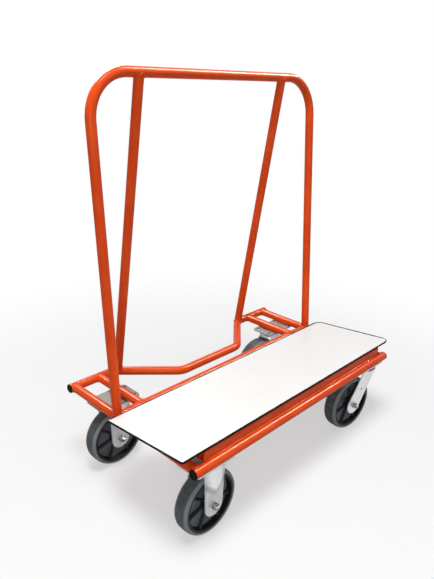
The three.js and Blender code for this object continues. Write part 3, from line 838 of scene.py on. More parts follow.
support_size = span("deck_support_tube")
support_wall = square_tube(middle("deck_support_tube"), support_size.z / 2, support_size.x / 2)
add_piece("deck_support_wall", support_wall, "frame_paint", ["deck_support_tube"])
print(f"square support of {support_size.z / MM:.1f} mm")

# %% [markdown]
# ## Turned pieces
# Plugs, wheels, hubs, bolts and raceways are all turned shapes: an outline carried round an axis. A
# Screw modifier could turn them too, but here the radius may also depend on the angle, which gives
# hexagons and threads with the same code. Outlines are short lists of corners, and each corner is
# softened to a small curve, because real edges are never sharp and a rounded edge catches the light.

# %% Turning
FULL_TURN_STEPS = 96
SOFTENED_STEPS = 4
SOFTENED_SHARE = 0.45
ALONG_X = np.eye(3)[[1, 2, 0]]
ALONG_Z = np.eye(3)


def softened(outline, radius, closed=True):
    """Replaces corners by curves (1-t)^2 a + 2t(1-t) c + t^2 b, where a and b are cut back from
    the corner c by a radius, or by less than half of its shorter side."""
    corner = np.asarray(outline, float)
    before = np.roll(corner, 1, axis=0) - corner
    after = np.roll(corner, -1, axis=0) - corner
    shorter = np.minimum(np.linalg.norm(before, axis=1), np.linalg.norm(after, axis=1))
    back = np.minimum(radius, SOFTENED_SHARE * shorter)
    if not closed:
        back[[0, -1]] = 0
    a = corner + back[:, None] * unit(before)
    b = corner + back[:, None] * unit(after)
    t = np.linspace(0, 1, SOFTENED_STEPS + 1)[None, :, None]
    curve = (1 - t) ** 2 * a[:, None] + 2 * t * (1 - t) * corner[:, None] + t ** 2 * b[:, None]
    return curve.reshape(-1, 2)


def soft_rectangle(left, right, low, high, radius):
    """A closed rectangle between two widths and two heights, with softened corners."""
    return softened([(left, low), (right, low), (right, high), (left, high)], radius)


def revolved(radius, along, centre, axes, closed=False, steps=FULL_TURN_STEPS):
    """Points at centre + along * way + radius * (cos f * first + sin f * second), where the axes
    are first, second and way, and the radius has a value per row, or one per row and angle."""
    first, second, way = axes
    f = full_turn(steps)[:, None]
    spokes = np.cos(f) * first + np.sin(f) * second
    radius = np.broadcast_to(radius, (len(along), steps))
    points = np.asarray(centre) + along[:, None, None] * way + radius[..., None] * spokes
    return grid(points, closed, True)


def turned(outline, centre, axes, closed=False, steps=FULL_TURN_STEPS):
    """An outline of (radius, along) points carried round an axis."""
    return revolved(outline[:, :1], outline[:, 1], centre, axes, closed, steps)


print(f"full turns of {FULL_TURN_STEPS} steps")

# %% [markdown]
# ## End plugs
# A plug is pushed into each open rail end: a chamfered flange as wide as the tube, with a shallow
# dish in its face, and a barrel inside. A plain disc would close the tube as well, but the chamfer is
# what shows. One outline from the axis round to the axis makes the plug, and the side of the cart
# tells which way it faces.

# %% End plugs
PLUG_FLANGE = 4 * MM
PLUG_CHAMFER = 1.5 * MM
PLUG_BARREL = 14 * MM
PLUG_RIM = 6 * MM
PLUG_DISH = 0.8 * MM
PLUG_ROUNDING = 0.5 * MM
SEAT_GAP = 0.3 * MM


def plug_outline():
    """(radius, along) from the barrel's inner end, over the flange, into the dish."""
    barrel_r = tube_r - TUBE_WALL - SEAT_GAP
    dish_r = tube_r - PLUG_RIM
    corners = [
        (0, -PLUG_BARREL),
        (barrel_r, -PLUG_BARREL),
        (barrel_r, SEAT_GAP),
        (tube_r, SEAT_GAP),
        (tube_r, PLUG_FLANGE - PLUG_CHAMFER),
        (tube_r - PLUG_CHAMFER, PLUG_FLANGE),
        (dish_r + PLUG_DISH, PLUG_FLANGE),
        (dish_r, PLUG_FLANGE - PLUG_DISH),
        (0, PLUG_FLANGE - PLUG_DISH),
    ]
    return softened(corners, PLUG_ROUNDING, closed=False)


for rail, rail_y in (("front_rail", front_y), ("rear_rail", rear_y)):
    for side_name, side in SIDES.items():
        rail_end = f"{rail}_{side_name}"
        place = (side * rail_x, rail_y, base_z)
        plug = turned(plug_outline() * (1, side), place, ALONG_X, steps=TUBE_SIDES)
        add_piece(f"{rail_end}_plug", plug, "end_cap", [f"{rail_end}_cap"])
print("4 end plugs")

# %% [markdown]
# ## Zinc and fasteners
# The plates and forks are pressed steel with bright zinc plating: a cool grey metal with soft,
# cloudy patches and a fine grain from the rolled sheet. A second material would stop at an edge, so a
# value on the mesh, the band, says how much duller, darker and less like a mirror each point is, and
# fades. That is painted shade, on the pressed legs and, at a level set by how each is lit, on the
# caster plates. Bolts and nuts are plated too, but tighter and a little darker, with patches of
# grime.

# %% Zinc and fasteners
ZINC_PALE = (0.90, 0.91, 0.92, 1)
ZINC_COOL = (0.78, 0.79, 0.81, 1)
# darker, less metallic zinc grey, used as painted shade on the caster plates and pressed legs
ZINC_DULL_AND_SHADE = (0.23, 0.243, 0.25, 1)
ZINC_SHEEN = 0.75
STEEL_PALE = (0.40, 0.40, 0.40, 1)
STEEL_DARK = (0.09, 0.09, 0.095, 1)
ROLLED_SHEET = (1, 1, 0.12)


def make_zinc():
    """Clouds and patches mix two pale greys; the band mixes in a darker grey, painted shade."""
    zinc = Finish("bright_zinc", Specular_IOR_Level=0.15)
    dull_and_shade = zinc.attribute("band")
    patch = cells(zinc.place, scale=140)
    cloud = noise(zinc.place, scale=35, detail=4)
    grain = noise(zinc.place, scale=500, detail=2, stretch=ROLLED_SHEET)
    plated = (0.7 * cloud + 0.35 * patch).ramp(low=0.25, high=0.75).blend(ZINC_PALE, ZINC_COOL)
    zinc.feed("Base Color", dull_and_shade.blend(plated, ZINC_DULL_AND_SHADE))
    zinc.feed("Metallic", ZINC_SHEEN - ZINC_SHEEN * dull_and_shade)
    zinc.feed("Roughness", 0.30 + 0.16 * cloud + 0.08 * grain)
    zinc.bump(grain + 0.4 * patch, depth=0.03 * MM)
    return zinc.material


def make_steel():
    """Grime darkens and roughens the metal."""
    steel = Finish("plated_fastener", Metallic=0.9)
    grime = noise(steel.place, scale=160, detail=4).ramp(low=0.40, high=0.62)
    grain = noise(steel.place, scale=1200, detail=1)
    steel.feed("Base Color", grime.blend(STEEL_PALE, STEEL_DARK))
    steel.feed("Roughness", 0.28 + 0.25 * grime + 0.06 * grain)
    steel.bump(grain, depth=0.02 * MM)
    return steel.material


finish_of["caster_zinc"] = [make_zinc()]
finish_of["fastener_steel"] = [make_steel()]
print("made", finish_of["caster_zinc"], finish_of["fastener_steel"])

# %% [markdown]
# ## Rubber and core plastic
# The tread is hard grey rubber, and the wheel's core is moulded dark plastic. Both change from one
# part of their section to the next: the tread is paler on its shoulder, and the walls and ribs of the
# core are painted black and dark grey as shade. Separate pieces could show that, but would need
# seams, so the band value on the mesh blends the colours.

# %% Rubber and core plastic
RUBBER_DARK = (0.085, 0.097, 0.104, 1)
RUBBER_DUSTY = (0.125, 0.139, 0.146, 1)
RUBBER_LIP = (0.25, 0.268, 0.28, 1)
CORE_WEB = (0.170, 0.188, 0.205, 1)
CORE_WEB_WORN = (0.120, 0.132, 0.146, 1)
# black painted shade up the walls of hub and rim
CORE_SHADE_BLACK = (0.005, 0.005, 0.006, 1)


def make_rubber():
    """Dark and dusty where it rolls, and paler on the shoulder, where the band value is high."""
    rubber = Finish("grey_tread_rubber", Specular_IOR_Level=0.10)
    dust = noise(rubber.place, scale=45, detail=5).ramp(low=0.38, high=0.75)
    grain = noise(rubber.place, scale=900, detail=2)
    rolling = dust.blend(RUBBER_DARK, RUBBER_DUSTY)
    rubber.feed("Base Color", rubber.attribute("band").blend(rolling, RUBBER_LIP))
    rubber.feed("Roughness", 0.50 + 0.22 * dust)
    rubber.bump(grain, depth=0.08 * MM)
    return rubber.material


def make_core():
    """Grey on the web, with painted shade: darker on the ribs, and black up the walls of hub and rim.
    """
    core = Finish("dark_core_plastic", Specular_IOR_Level=0.2)
    flow = noise(core.place, scale=28, detail=3)
    grain = noise(core.place, scale=800, detail=1)
    web = flow.ramp(low=0.40, high=0.70).blend(CORE_WEB, CORE_WEB_WORN)
    core.feed("Base Color", core.attribute("band").blend(web, CORE_SHADE_BLACK))
    core.feed("Roughness", 0.36 + 0.18 * flow)
    core.bump(grain, depth=0.04 * MM)
    return core.material


finish_of["wheel_tread"] = [make_rubber()]
finish_of["wheel_core"] = [make_core()]
print("made", finish_of["wheel_tread"], finish_of["wheel_core"])

# %% [markdown]
# ## Axles
# Everything on a caster is made about its axle. The swivel casters stand a little turned, so their
# boxes don't give its direction, but the wheel's joint does. Lengths along the axle are the same on
# all four casters, and are read from the front left one, which stands square.

# %% Axles
ENDS = ("front", "rear")
CASTERS = [f"{end}_{side_name}" for end in ENDS for side_name in SIDES]

joint_of = {joint["child"]: joint for joint in frame["record"]["behaviour"]["joints"]}


def axle_of(caster):
    """The middle of an axle, and three directions: up, square to it, and along it."""
    joint = joint_of[f"{caster}_wheel"]
    along = unit(np.array(joint["axis"], float))
    return np.array(joint["pos_m"]), np.stack([UP, np.cross(along, UP), along])


def along_axle(piece):
    """Where a front left piece begins and ends along its axle."""
    low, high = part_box(f"front_left_{piece}")
    return low.y - square_axle[1], high.y - square_axle[1]


square_axle, _ = axle_of("front_left")
axle_z = square_axle[2]
print(f"{len(CASTERS)} axles at {axle_z / MM:.1f} mm")

# %% [markdown]
# ## Tread
# The tread rolls on a barely crowned face and slopes off to a broad paler shoulder on each side. A
# torus would be too round for that, so a closed section with softened corners is turned about the
# axle. The band value grows from the rolling face to the shoulder, and falls off again where the
# tread meets the rim.

# %% Tread
SHOULDER_WIDTH = 9 * MM
SHOULDER_DROP = 5 * MM
TREAD_CROWN = 0.5 * MM
TREAD_ROUNDING = 3 * MM
TREAD_FADE = 2 * MM
RIM_R = 89.6 * MM


def tread_outline(wheel_r, half):
    """The tread's closed section, and the band value of each point after the turn: how far it is
    into the shoulder times how far it is above the rim, each from 0 to 1."""
    rolling = wheel_r - TREAD_CROWN
    corners = [
        (RIM_R + SEAT_GAP, -half),
        (wheel_r - SHOULDER_DROP, -half),
        (rolling, SHOULDER_WIDTH - half),
        (wheel_r, 0),
        (rolling, half - SHOULDER_WIDTH),
        (wheel_r - SHOULDER_DROP, half),
        (RIM_R + SEAT_GAP, half),
    ]
    outline = softened(corners, TREAD_ROUNDING)
    into_shoulder = np.abs(outline[:, 1]) - half + SHOULDER_WIDTH
    above_rim = outline[:, 0] - RIM_R
    band = np.clip(into_shoulder / TREAD_FADE, 0, 1) * np.clip(above_rim / TREAD_FADE, 0, 1)
    return outline, np.repeat(band, FULL_TURN_STEPS)


wheel_r = span("front_left_wheel_tread").z / 2
tread_section, tread_band = tread_outline(wheel_r, along_axle("wheel_tread")[1])
for caster in CASTERS:
    tread = turned(tread_section, *axle_of(caster), closed=True)
    add_piece(f"{caster}_tread_ring", tread, "wheel_tread", [f"{caster}_wheel_tread"],
              bands=tread_band)
print(f"{len(CASTERS)} treads of {2 * wheel_r / MM:.0f} mm")

# %% [markdown]
# ## Wheel core
# The core is one moulding: a rim, a thin web, a hub and seven ribs on each side. Rim, web and hub
# are a turned section with fillets. A rib is a rounded bar that passes through the web, so one bar
# makes the rib on both sides, and its ends lie hidden in hub and rim. The band value is painted
# shade: it grows away from the web, to black up the walls of hub and rim, and the ribs have a dark
# shade of their own.

# %% Wheel core
RIM_THICKNESS = 6 * MM
RIM_DRAFT = 1.5 * MM
HALF_RIM = 24 * MM
WEB_HALF = 4 * MM
HUB_R = 25 * MM
BORE_R = 15.8 * MM
CORE_FILLETS = np.array([1, 1.5, 5, 5, 1.2, 1.0]) * MM
WEB_FADE = 3 * MM
RIB_COUNT = 7
RIB_PHASE = math.radians(61)
RIB_HALF = 3 * MM
RIB_REACH = 16 * MM
RIB_ROUNDING = 1.2 * MM
RIB_START = HUB_R - 5 * MM
RIB_END = RIM_R - 3 * MM
# dark painted shade on the ribs, for the shade at their sides
RIB_PAINTED_SHADE = 0.75


def core_outline(half_hub):
    """The core's closed section, one side and its mirror, and the band value of each point after
    the turn, a painted shade which grows with the height above the web."""
    rim_inner = RIM_R - RIM_THICKNESS
    side = np.array([
        (BORE_R, half_hub),
        (HUB_R - RIM_DRAFT, half_hub),
        (HUB_R + RIM_DRAFT, WEB_HALF),
        (rim_inner - RIM_DRAFT, WEB_HALF),
        (rim_inner, HALF_RIM),
        (RIM_R, HALF_RIM),
    ])
    corners = np.concatenate([side * (1, -1), side[::-1]])
    outline = softened(corners, np.concatenate([CORE_FILLETS, CORE_FILLETS[::-1]]))
    band = np.clip((np.abs(outline[:, 1]) - WEB_HALF) / WEB_FADE, 0, 1)
    return outline, np.repeat(band, FULL_TURN_STEPS)


def rib_surface(centre, axes, angle):
    """A rounded bar from inside the hub to inside the rim: centre + reach * out + width * section,
    where the width is 0 at both ends."""
    up, square, along = axes
    loop = soft_rectangle(-RIB_HALF, RIB_HALF, -RIB_REACH, RIB_REACH, RIB_ROUNDING)
    reach = np.array([RIB_START, RIB_START, RIB_END, RIB_END])[:, None, None]
    width = np.array([0, 1, 1, 0])[:, None, None]
    out = math.cos(angle) * square - math.sin(angle) * up
    sideways = math.sin(angle) * square + math.cos(angle) * up
    section = loop[:, :1] * sideways + loop[:, 1:] * along
    return grid(centre + reach * out + width * section, False, True)


core_section, core_painted_shade = core_outline(along_axle("wheel_core")[1])
for caster in CASTERS:
    axle, axes = axle_of(caster)
    ribs = [rib_surface(axle, axes, RIB_PHASE + angle) for angle in full_turn(RIB_COUNT)]
    core = joined([turned(core_section, axle, axes, closed=True)] + ribs)
    # the ribs' points carry the ribs' painted shade
    bands = np.pad(core_painted_shade, (0, len(core[0]) - len(core_painted_shade)), constant_values=RIB_PAINTED_SHADE)
    add_piece(f"{caster}_ribbed_core", core, "wheel_core", [f"{caster}_wheel_core"], bands=bands)
print(f"{len(CASTERS)} cores with {RIB_COUNT} ribs a side")

# %% [markdown]
# ## Bearings and sleeves
# In each hub a bearing runs on a sleeve, which the axle bolt clamps between the legs. They could be
# left as bare solids, since they are out of sight between hub and legs, but they cost little: both
# are rectangles with eased corners, as long as their solids, turned about the axle.

# %% Bearings and sleeves
SMALL_TURN_STEPS = 48
RING_EASE = 0.6 * MM
SLEEVE_R = 9.5 * MM
AXLE_R = 6.35 * MM
AXLE_HOLE_R = AXLE_R + SEAT_GAP

hub_rings = {
    "bearing_ring": ("wheel_bearing", SLEEVE_R + SEAT_GAP, BORE_R - SEAT_GAP),
    "sleeve_ring": ("axle_sleeve", AXLE_HOLE_R, SLEEVE_R),
}
for caster in CASTERS:
    for name, (piece, inner_r, outer_r) in hub_rings.items():
        section = soft_rectangle(inner_r, outer_r, *along_axle(piece), RING_EASE)
        ring = turned(section, *axle_of(caster), closed=True, steps=SMALL_TURN_STEPS)
        add_piece(f"{caster}_{name}", ring, "fastener_steel", [f"{caster}_{piece}"])
print(f"{len(hub_rings) * len(CASTERS)} rings in the hubs")

# %% [markdown]
# ## Hexagons and threads
# Bolts and nuts could be taken from an add-on, but both follow from the same turning. A hexagon is a
# radius that depends on the angle, and its chamfer is a cone that cuts the corners, so the smaller
# of the two is taken. A thread is a ridge that climbs one pitch a turn, so its phase is the height
# minus the angle. Stretches of rows are then put one after another.

# %% Hexagons and threads
HEX_STEPS = 72
HEX_CHAMFER_SLOPE = 1.7
HEX_CHAMFER_RISE = 0.1
HEX_FACE_SHARE = 0.985
CHAMFER_ROWS = 5
THREAD_PITCH = 2 * MM
THREAD_DEPTH = 0.7 * MM
ROWS_PER_PITCH = 6


def hexagon(half_flats):
    """Distance to a hexagon's sides at each angle: half_flats / cos of the angle off the flat."""
    return half_flats / np.cos(full_turn(HEX_STEPS) % (np.pi / 3) - np.pi / 6)


def hex_rows(half_flats, low, high):
    """Rows of a chamfered hexagon from low to high: the smaller of the hexagon and a cone."""
    rise = np.linspace(0, HEX_CHAMFER_RISE * half_flats, CHAMFER_ROWS)
    along = np.concatenate([low + rise, high - rise[::-1]])
    cone = HEX_FACE_SHARE * half_flats + HEX_CHAMFER_SLOPE * np.concatenate([rise, rise[::-1]])
    return np.minimum(hexagon(half_flats)[None, :], cone[:, None]), along


def thread_rows(radius, low, high):
    """Rows of a threaded shank: radius less a depth that swings once per pitch and once per turn."""
    along = np.linspace(low, high, ROWS_PER_PITCH * round((high - low) / THREAD_PITCH) + 1)
    turns = full_turn(HEX_STEPS) / (2 * np.pi)
    phase = (along[:, None] / THREAD_PITCH - turns) % 1
    return radius - THREAD_DEPTH * np.abs(2 * phase - 1), along


def stack_rows(stretches):
    """Rows of several (radius, along) stretches, one after another; a plain radius is a circle."""
    radius = [np.broadcast_to(radius, (len(along), HEX_STEPS)) for radius, along in stretches]
    return np.concatenate(radius), np.concatenate([along for _, along in stretches])


print("hexagons and threads ready")

# %% [markdown]
# ## Axle bolts and nuts
# Each axle is a hexagon bolt whose threaded end carries a nut. Head, shank and thread could be three
# pieces, but then faces would lie hidden inside the bolt. So it is one outline from its tip to the
# face of its head. The nut is a closed ring, up the outside of the hexagon and down the bore, which
# keeps clear of the thread.

# %% Axle bolts and nuts
AXLE_HEX_HALF = 9.5 * MM
AXLE_HEAD = 8 * MM
TIP_CHAMFER = 1 * MM


def nut_surface(centre, axes, half, half_flats, bore_r):
    """A closed ring: up the outside of the hexagon and down the bore."""
    hexed = hex_rows(half_flats, -half, half)
    radius, along = stack_rows([hexed, (bore_r, [half, -half])])
    return revolved(radius, along, centre, axes, closed=True, steps=HEX_STEPS)


def bolt_surface(centre, axes, tip, thread_end, head_end):
    """Tip, thread, shank and head of an axle bolt, in one outline along its axle."""
    head = head_end - AXLE_HEAD
    radius, along = stack_rows([
        (0, [tip]),
        (AXLE_R - THREAD_DEPTH, [tip]),
        thread_rows(AXLE_R, tip + TIP_CHAMFER, thread_end),
        (AXLE_R, [thread_end, head]),
        hex_rows(AXLE_HEX_HALF, head, head_end),
        (0, [head_end]),
    ])
    return revolved(radius, along, centre, axes, steps=HEX_STEPS)


bolt_tip, bolt_end = along_axle("axle_bolt")
nut_low, nut_high = along_axle("axle_nut")
nut_half = (nut_high - nut_low) / 2
for caster in CASTERS:
    axle, axes = axle_of(caster)
    bolt = bolt_surface(axle, axes, bolt_tip, nut_high, bolt_end)
    add_piece(f"{caster}_hex_bolt", bolt, "fastener_steel", [f"{caster}_axle_bolt"])
    nut_middle = axle + (nut_low + nut_high) / 2 * axes[2]
    nut = nut_surface(nut_middle, axes, nut_half, AXLE_HEX_HALF, AXLE_HOLE_R)
    add_piece(f"{caster}_hex_nut", nut, "fastener_steel", [f"{caster}_axle_nut"])
print(f"{2 * len(CASTERS)} axle fasteners")

# %% [markdown]
# ## Cut sheet
# Caster plates and fork legs are cut from sheet, with holes. A hole and the border round it share
# one angle, so the sheet between them is a ring of quads: hole + (border - hole) * share. A part
# with several holes is several such rings side by side. Each plan is lifted to a front and a back
# face, and walls close the borders and the holes. A boolean would need none of this, but its faces
# bend badly when the sheet is pressed.

# %% Sheet surfaces
NEVER_ZERO = 1e-9


def arc(centre, radius, start, end, count):
    """Points round part of a circle, both ends included."""
    angle = np.linspace(start, end, count)
    return np.asarray(centre) + radius * np.stack([np.cos(angle), np.sin(angle)], axis=1)


def straight(start, end, count):
    """Points along a straight edge, both ends included."""
    t = np.linspace(0, 1, count)[:, None]
    return np.asarray(start, float) + t * (np.asarray(end, float) - np.asarray(start, float))


def chained(lines):
    """Lines joined end to end into a closed border, with each shared point kept once."""
    return np.concatenate([line[:-1] for line in lines])


def round_hole(border, centre, radius):
    """The point of a round hole that faces each point of the border."""
    return np.asarray(centre) + radius * unit(border - np.asarray(centre))


def slot_hole(border, centre, half_straight, radius):
    """The point of a long slot that faces each border point: on a flat, radius / |sin|, and on a
    round end, half_straight * |cos| + sqrt(radius^2 - half_straight^2 * sin^2)."""
    way = unit(border - np.asarray(centre))
    c, s = np.abs(way).T
    flat = radius / np.maximum(s, NEVER_ZERO)
    end = half_straight * c + np.sqrt(np.maximum(radius ** 2 - (half_straight * s) ** 2, 0))
    reach = np.where(flat * c <= half_straight, flat, end)
    return np.asarray(centre) + reach[:, None] * way


def sheet(plan_rings, edges, front, back, rows):
    """A sheet from ring-shaped patches (border, hole) and the edge lines that stay open."""
    share = np.linspace(0, 1, rows)[:, None, None]
    surfaces = []
    for border, hole in plan_rings:
        plan = hole + (border - hole) * share
        surfaces.append(grid(front(plan), False, True))
        surfaces.append(grid(back(plan), False, True))
        surfaces.append(grid(np.stack([front(hole), back(hole)]), False, True))
    for line in edges:
        surfaces.append(grid(np.stack([front(line), back(line)])))
    return joined(surfaces)


print("sheet ready")

# %% [markdown]
# ## Caster plates
# Every caster hangs from a plate with round corners and a slot near each of them. The plate could be
# worked out whole, but a quarter of it is simply a ring round its slot, and the other three are its
# mirror images. The plates of the swivel casters have a hole in the middle for the king pin's head,
# which cuts the inner corner of the quarter with an arc. Each plate's band value is painted shade,
# set
# by how the plate is lit: the front plates, in shade under the deck, are painted paler, and the rear
# left one, which gets more light, is painted darker than the rear right one.

# %% Caster plates
PLATE_HALF_X = 77 * MM
PLATE_HALF_Y = 46 * MM
PLATE_SHEET = 6 * MM
PLATE_CORNER_R = 14 * MM
PLATE_ROWS = 4
PLATE_BEVEL = 0.8 * MM
# painted shade level of each plate, set by how that plate is lit
PLATE_DULL_AND_SHADE = {"front_left": 0.25, "front_right": 0.25, "rear_left": 1.0, "rear_right": 0.78}
SLOT_PLACE = (60 * MM, 29 * MM)
SLOT_STRAIGHT = 4.5 * MM
SLOT_R = 5.5 * MM
KING_HEAD_R = 14 * MM
EDGE_COUNT = 9


def quarter_plate(hole_r):
    """Border of one quarter, counted from the X axis on: two outer sides, two inner sides and,
    where there is a pin, the arc of its hole. The outer sides and the arc are edges."""
    corner = (PLATE_HALF_X - PLATE_CORNER_R, PLATE_HALF_Y - PLATE_CORNER_R)
    outside = chained([
        straight((PLATE_HALF_X, 0), (PLATE_HALF_X, corner[1]), EDGE_COUNT),
        arc(corner, PLATE_CORNER_R, 0, np.pi / 2, EDGE_COUNT),
        straight((corner[0], PLATE_HALF_Y), (0, PLATE_HALF_Y), EDGE_COUNT),
    ])
    outside = np.concatenate([outside, [(0, PLATE_HALF_Y)]])
    inward = straight((0, PLATE_HALF_Y), (0, hole_r), EDGE_COUNT)
    outward = straight((hole_r, 0), (PLATE_HALF_X, 0), EDGE_COUNT)
    if hole_r == 0:
        return chained([outside, inward, outward]), [outside]
    notch = arc((0, 0), hole_r, np.pi / 2, 0, EDGE_COUNT)
    return chained([outside, inward, notch, outward]), [outside, notch]


def plate_surface(centre, top, hole_r):
    """Four mirrored quarters, each point of the plan at the plate's top or a thickness below it."""
    border, edges = quarter_plate(hole_r)
    slot = slot_hole(border, SLOT_PLACE, SLOT_STRAIGHT, SLOT_R)
    mirrors = [np.array(signs) for signs in ((1, 1), (-1, 1), (-1, -1), (1, -1))]
    plan_rings = [(border * mirror, slot * mirror) for mirror in mirrors]
    edge_lines = [edge * mirror for mirror in mirrors for edge in edges]

    def level(z):
        def lift(plan):
            height = np.full(plan.shape[:-1] + (1,), z)
            return np.concatenate([plan + np.array((centre.x, centre.y)), height], axis=-1)
        return lift

    return sheet(plan_rings, edge_lines, level(top), level(top - PLATE_SHEET), PLATE_ROWS)


# each plate's band value is its painted shade level
for caster, dull_shade_share in PLATE_DULL_AND_SHADE.items():
    swivels = caster.endswith("right")
    node = f"{caster}_top_plate" if swivels else f"{caster}_fork"
    plate = plate_surface(middle(node), plate_top, KING_HEAD_R + SEAT_GAP if swivels else 0.0)
    add_piece(f"{node}_sheet", plate, "caster_zinc", [node],
              bands=np.full(len(plate[0]), dull_shade_share), bevel=PLATE_BEVEL)
plate_bottom = plate_top - PLATE_SHEET
print(f"{len(PLATE_DULL_AND_SHADE)} caster plates")

# %% [markdown]
# ## Outline of a fork leg
# A leg is wide at the top and ends in a half round about the axle. A tapered bar with a disc on its
# end would show a corner where they meet, so the sides are the lines from the top corners that just
# touch the round. The angle at which such a line touches comes from the triangle of corner, centre
# and touching point.

# %% Leg outline
LEG_END_R = 34 * MM
SIDE_COUNT = 40


def tangent_angle(point, centre, radius, side):
    """Angle at which a line from a point touches a circle: the point's bearing from the centre, plus
    or minus acos(radius / distance)."""
    gap = np.asarray(point) - np.asarray(centre)
    return math.atan2(gap[1], gap[0]) + side * math.acos(radius / np.linalg.norm(gap))


def leg_lines(axle, top_half, top_z):
    """The four edges of a leg in order: its round end, right side, top and left side."""
    top_right = np.array((top_half, top_z))
    top_left = np.array((-top_half, top_z))
    left = tangent_angle(top_left, axle, LEG_END_R, 1)
    right = tangent_angle(top_right, axle, LEG_END_R, -1)
    end = arc(axle, LEG_END_R, left, right + 2 * np.pi, SIDE_COUNT)
    right_side = straight(end[-1], top_right, SIDE_COUNT)
    left_side = straight(top_left, end[0], SIDE_COUNT)
    return end, right_side, straight(top_right, top_left, SIDE_COUNT), left_side


print(f"leg outlines of {4 * (SIDE_COUNT - 1)} points")

# %% [markdown]
# ## Pressed panel
# The legs of the rigid casters are stiffened by a panel that is pressed outwards, rounded like the
# bottom of a boat, with a point above the axle. It could be sculpted, but a height over the plan is
# exact: an eased rise from both sides times an eased rise from the two edges of the point. The same
# distances say where shade is painted on the plating, as a darker, less metallic grey on the flat
# and along the point.

# %% Pressed panel
PANEL_HALF = 32 * MM
PANEL_RAISE = 7.5 * MM
PANEL_EASE = 22 * MM
PANEL_POINT = 36 * MM
PANEL_POINT_DEPTH = 26 * MM
# painted shade on the rigid legs: on the flat around the panel and along its point
RIM_PAINTED_SHADE = 0.40
FLAT_PAINTED_SHADE = 0.30


def into_panel(plan, axle):
    """How far a point is inside the panel, from its two sides and from the two edges of its point:
    0 at the rim and 1 where the sheet has risen to its full height."""
    x = plan[..., 0] - axle[0]
    z = plan[..., 1] - axle[1]
    slant = math.atan2(PANEL_POINT_DEPTH, PANEL_HALF)
    from_sides = PANEL_HALF - np.abs(x)
    from_point = (z - PANEL_POINT) * math.cos(slant) - np.abs(x) * math.sin(slant)
    return np.clip(from_sides / PANEL_EASE, 0, 1), np.clip(from_point / PANEL_EASE, 0, 1)


def pressed(plan, axle):
    """Height of the pressed panel: 1 - (1 - a)^2 for each distance a, multiplied."""
    from_sides, from_point = into_panel(plan, axle)
    return PANEL_RAISE * (1 - (1 - from_sides) ** 2) * (1 - (1 - from_point) ** 2)


def panel_painted_shade(points, place, axes, axle):
    """Painted shade: darker and less metallic on the flat around the panel, and darker still along
    the panel's point, where the pressed form falls into shade: flat (1 - rise) + rim 4 a (1 - a)."""
    up, square, _ = axes
    plan = np.stack([(points - place) @ square, (points - place) @ up], axis=-1)
    _, from_point = into_panel(plan, axle)
    rise = pressed(plan, axle) / PANEL_RAISE
    return FLAT_PAINTED_SHADE * (1 - rise) + RIM_PAINTED_SHADE * 4 * from_point * (1 - from_point)


print(f"panels pressed {PANEL_RAISE / MM:.1f} mm deep")

# %% [markdown]
# ## Fork legs
# A rigid fork has two upright legs with the pressed panel, and a swivel fork has slanted legs with a
# small hole half way down. Both are the same sheet with other edges, so one function makes them. A
# leg with two holes is split into two rings by a seam across it. The sheet's back follows its
# front, as pressed metal does.

# %% Fork legs
RIGID_TOP_HALF = 40 * MM
LEG_INNER = 30.5 * MM
LEG_SHEET = 5 * MM
LEG_ROWS = 30
LEG_BEVEL = 0.9 * MM
LEG_HOLE_R = 4 * MM
SEAM_AT = SIDE_COUNT // 4


def leg_rings(edges, axle, hole):
    """Borders and holes of a leg: one ring about the axle or, with a second hole, one on each side
    of a seam from a point of the right side to its opposite number on the left."""
    end, right_side, top, left_side = edges
    if hole is None:
        border = chained(edges)
        return [(border, round_hole(border, axle, AXLE_HOLE_R))]
    seam = straight(right_side[SEAM_AT], left_side[-1 - SEAM_AT], SIDE_COUNT)
    lower = chained([end, right_side[:SEAM_AT + 1], seam, left_side[-1 - SEAM_AT:]])
    upper = chained([right_side[SEAM_AT:], top, left_side[:-SEAM_AT], seam[::-1]])
    return [(lower, round_hole(lower, axle, AXLE_HOLE_R)),
            (upper, round_hole(upper, hole, LEG_HOLE_R))]


def legs_surface(place, axes, axle, top_half, top_z, panel=False, hole=None):
    """Two legs: each point of the plan goes along the square direction and up, and out along the
    axle by side * (depth + panel), with the depth of the sheet's inner or outer face."""
    up, square, along = axes
    edges = leg_lines(axle, top_half, top_z)
    plan_rings = leg_rings(edges, axle, hole)

    def face(side, depth):
        def lift(plan):
            height = depth + (pressed(plan, axle) if panel else 0.0)
            out = np.broadcast_to(side * height, plan.shape[:-1])[..., None]
            return np.asarray(place) + plan[..., :1] * square + out * along + plan[..., 1:] * up
        return lift

    outer = LEG_INNER + LEG_SHEET
    return joined([sheet(plan_rings, edges, face(side, outer), face(side, LEG_INNER), LEG_ROWS)
                   for side in (-1, 1)])


for end in ENDS:
    axle, axes = axle_of(f"{end}_left")
    below = axle * (1, 1, 0)
    hub = np.array((0, axle_z))
    leg_top = plate_bottom + PLATE_SHEET / 2
    legs = legs_surface(below, axes, hub, RIGID_TOP_HALF, leg_top, panel=True)
    # the legs' band value is painted shade
    add_piece(f"{end}_left_legs", legs, "caster_zinc", [f"{end}_left_fork"],
              bands=panel_painted_shade(legs[0], below, axes, hub), bevel=LEG_BEVEL)
print("4 pressed legs")

# %% [markdown]
# ## Parts of a swivel head
# Under each swivel plate sits a raceway, a ring of balls in its cage, and the crown of the fork,
# which a king pin and nut hold together. All but the balls are turned, and their heights are stacked
# down from the plate, with a small gap on each side of the balls so that the fork turns freely.

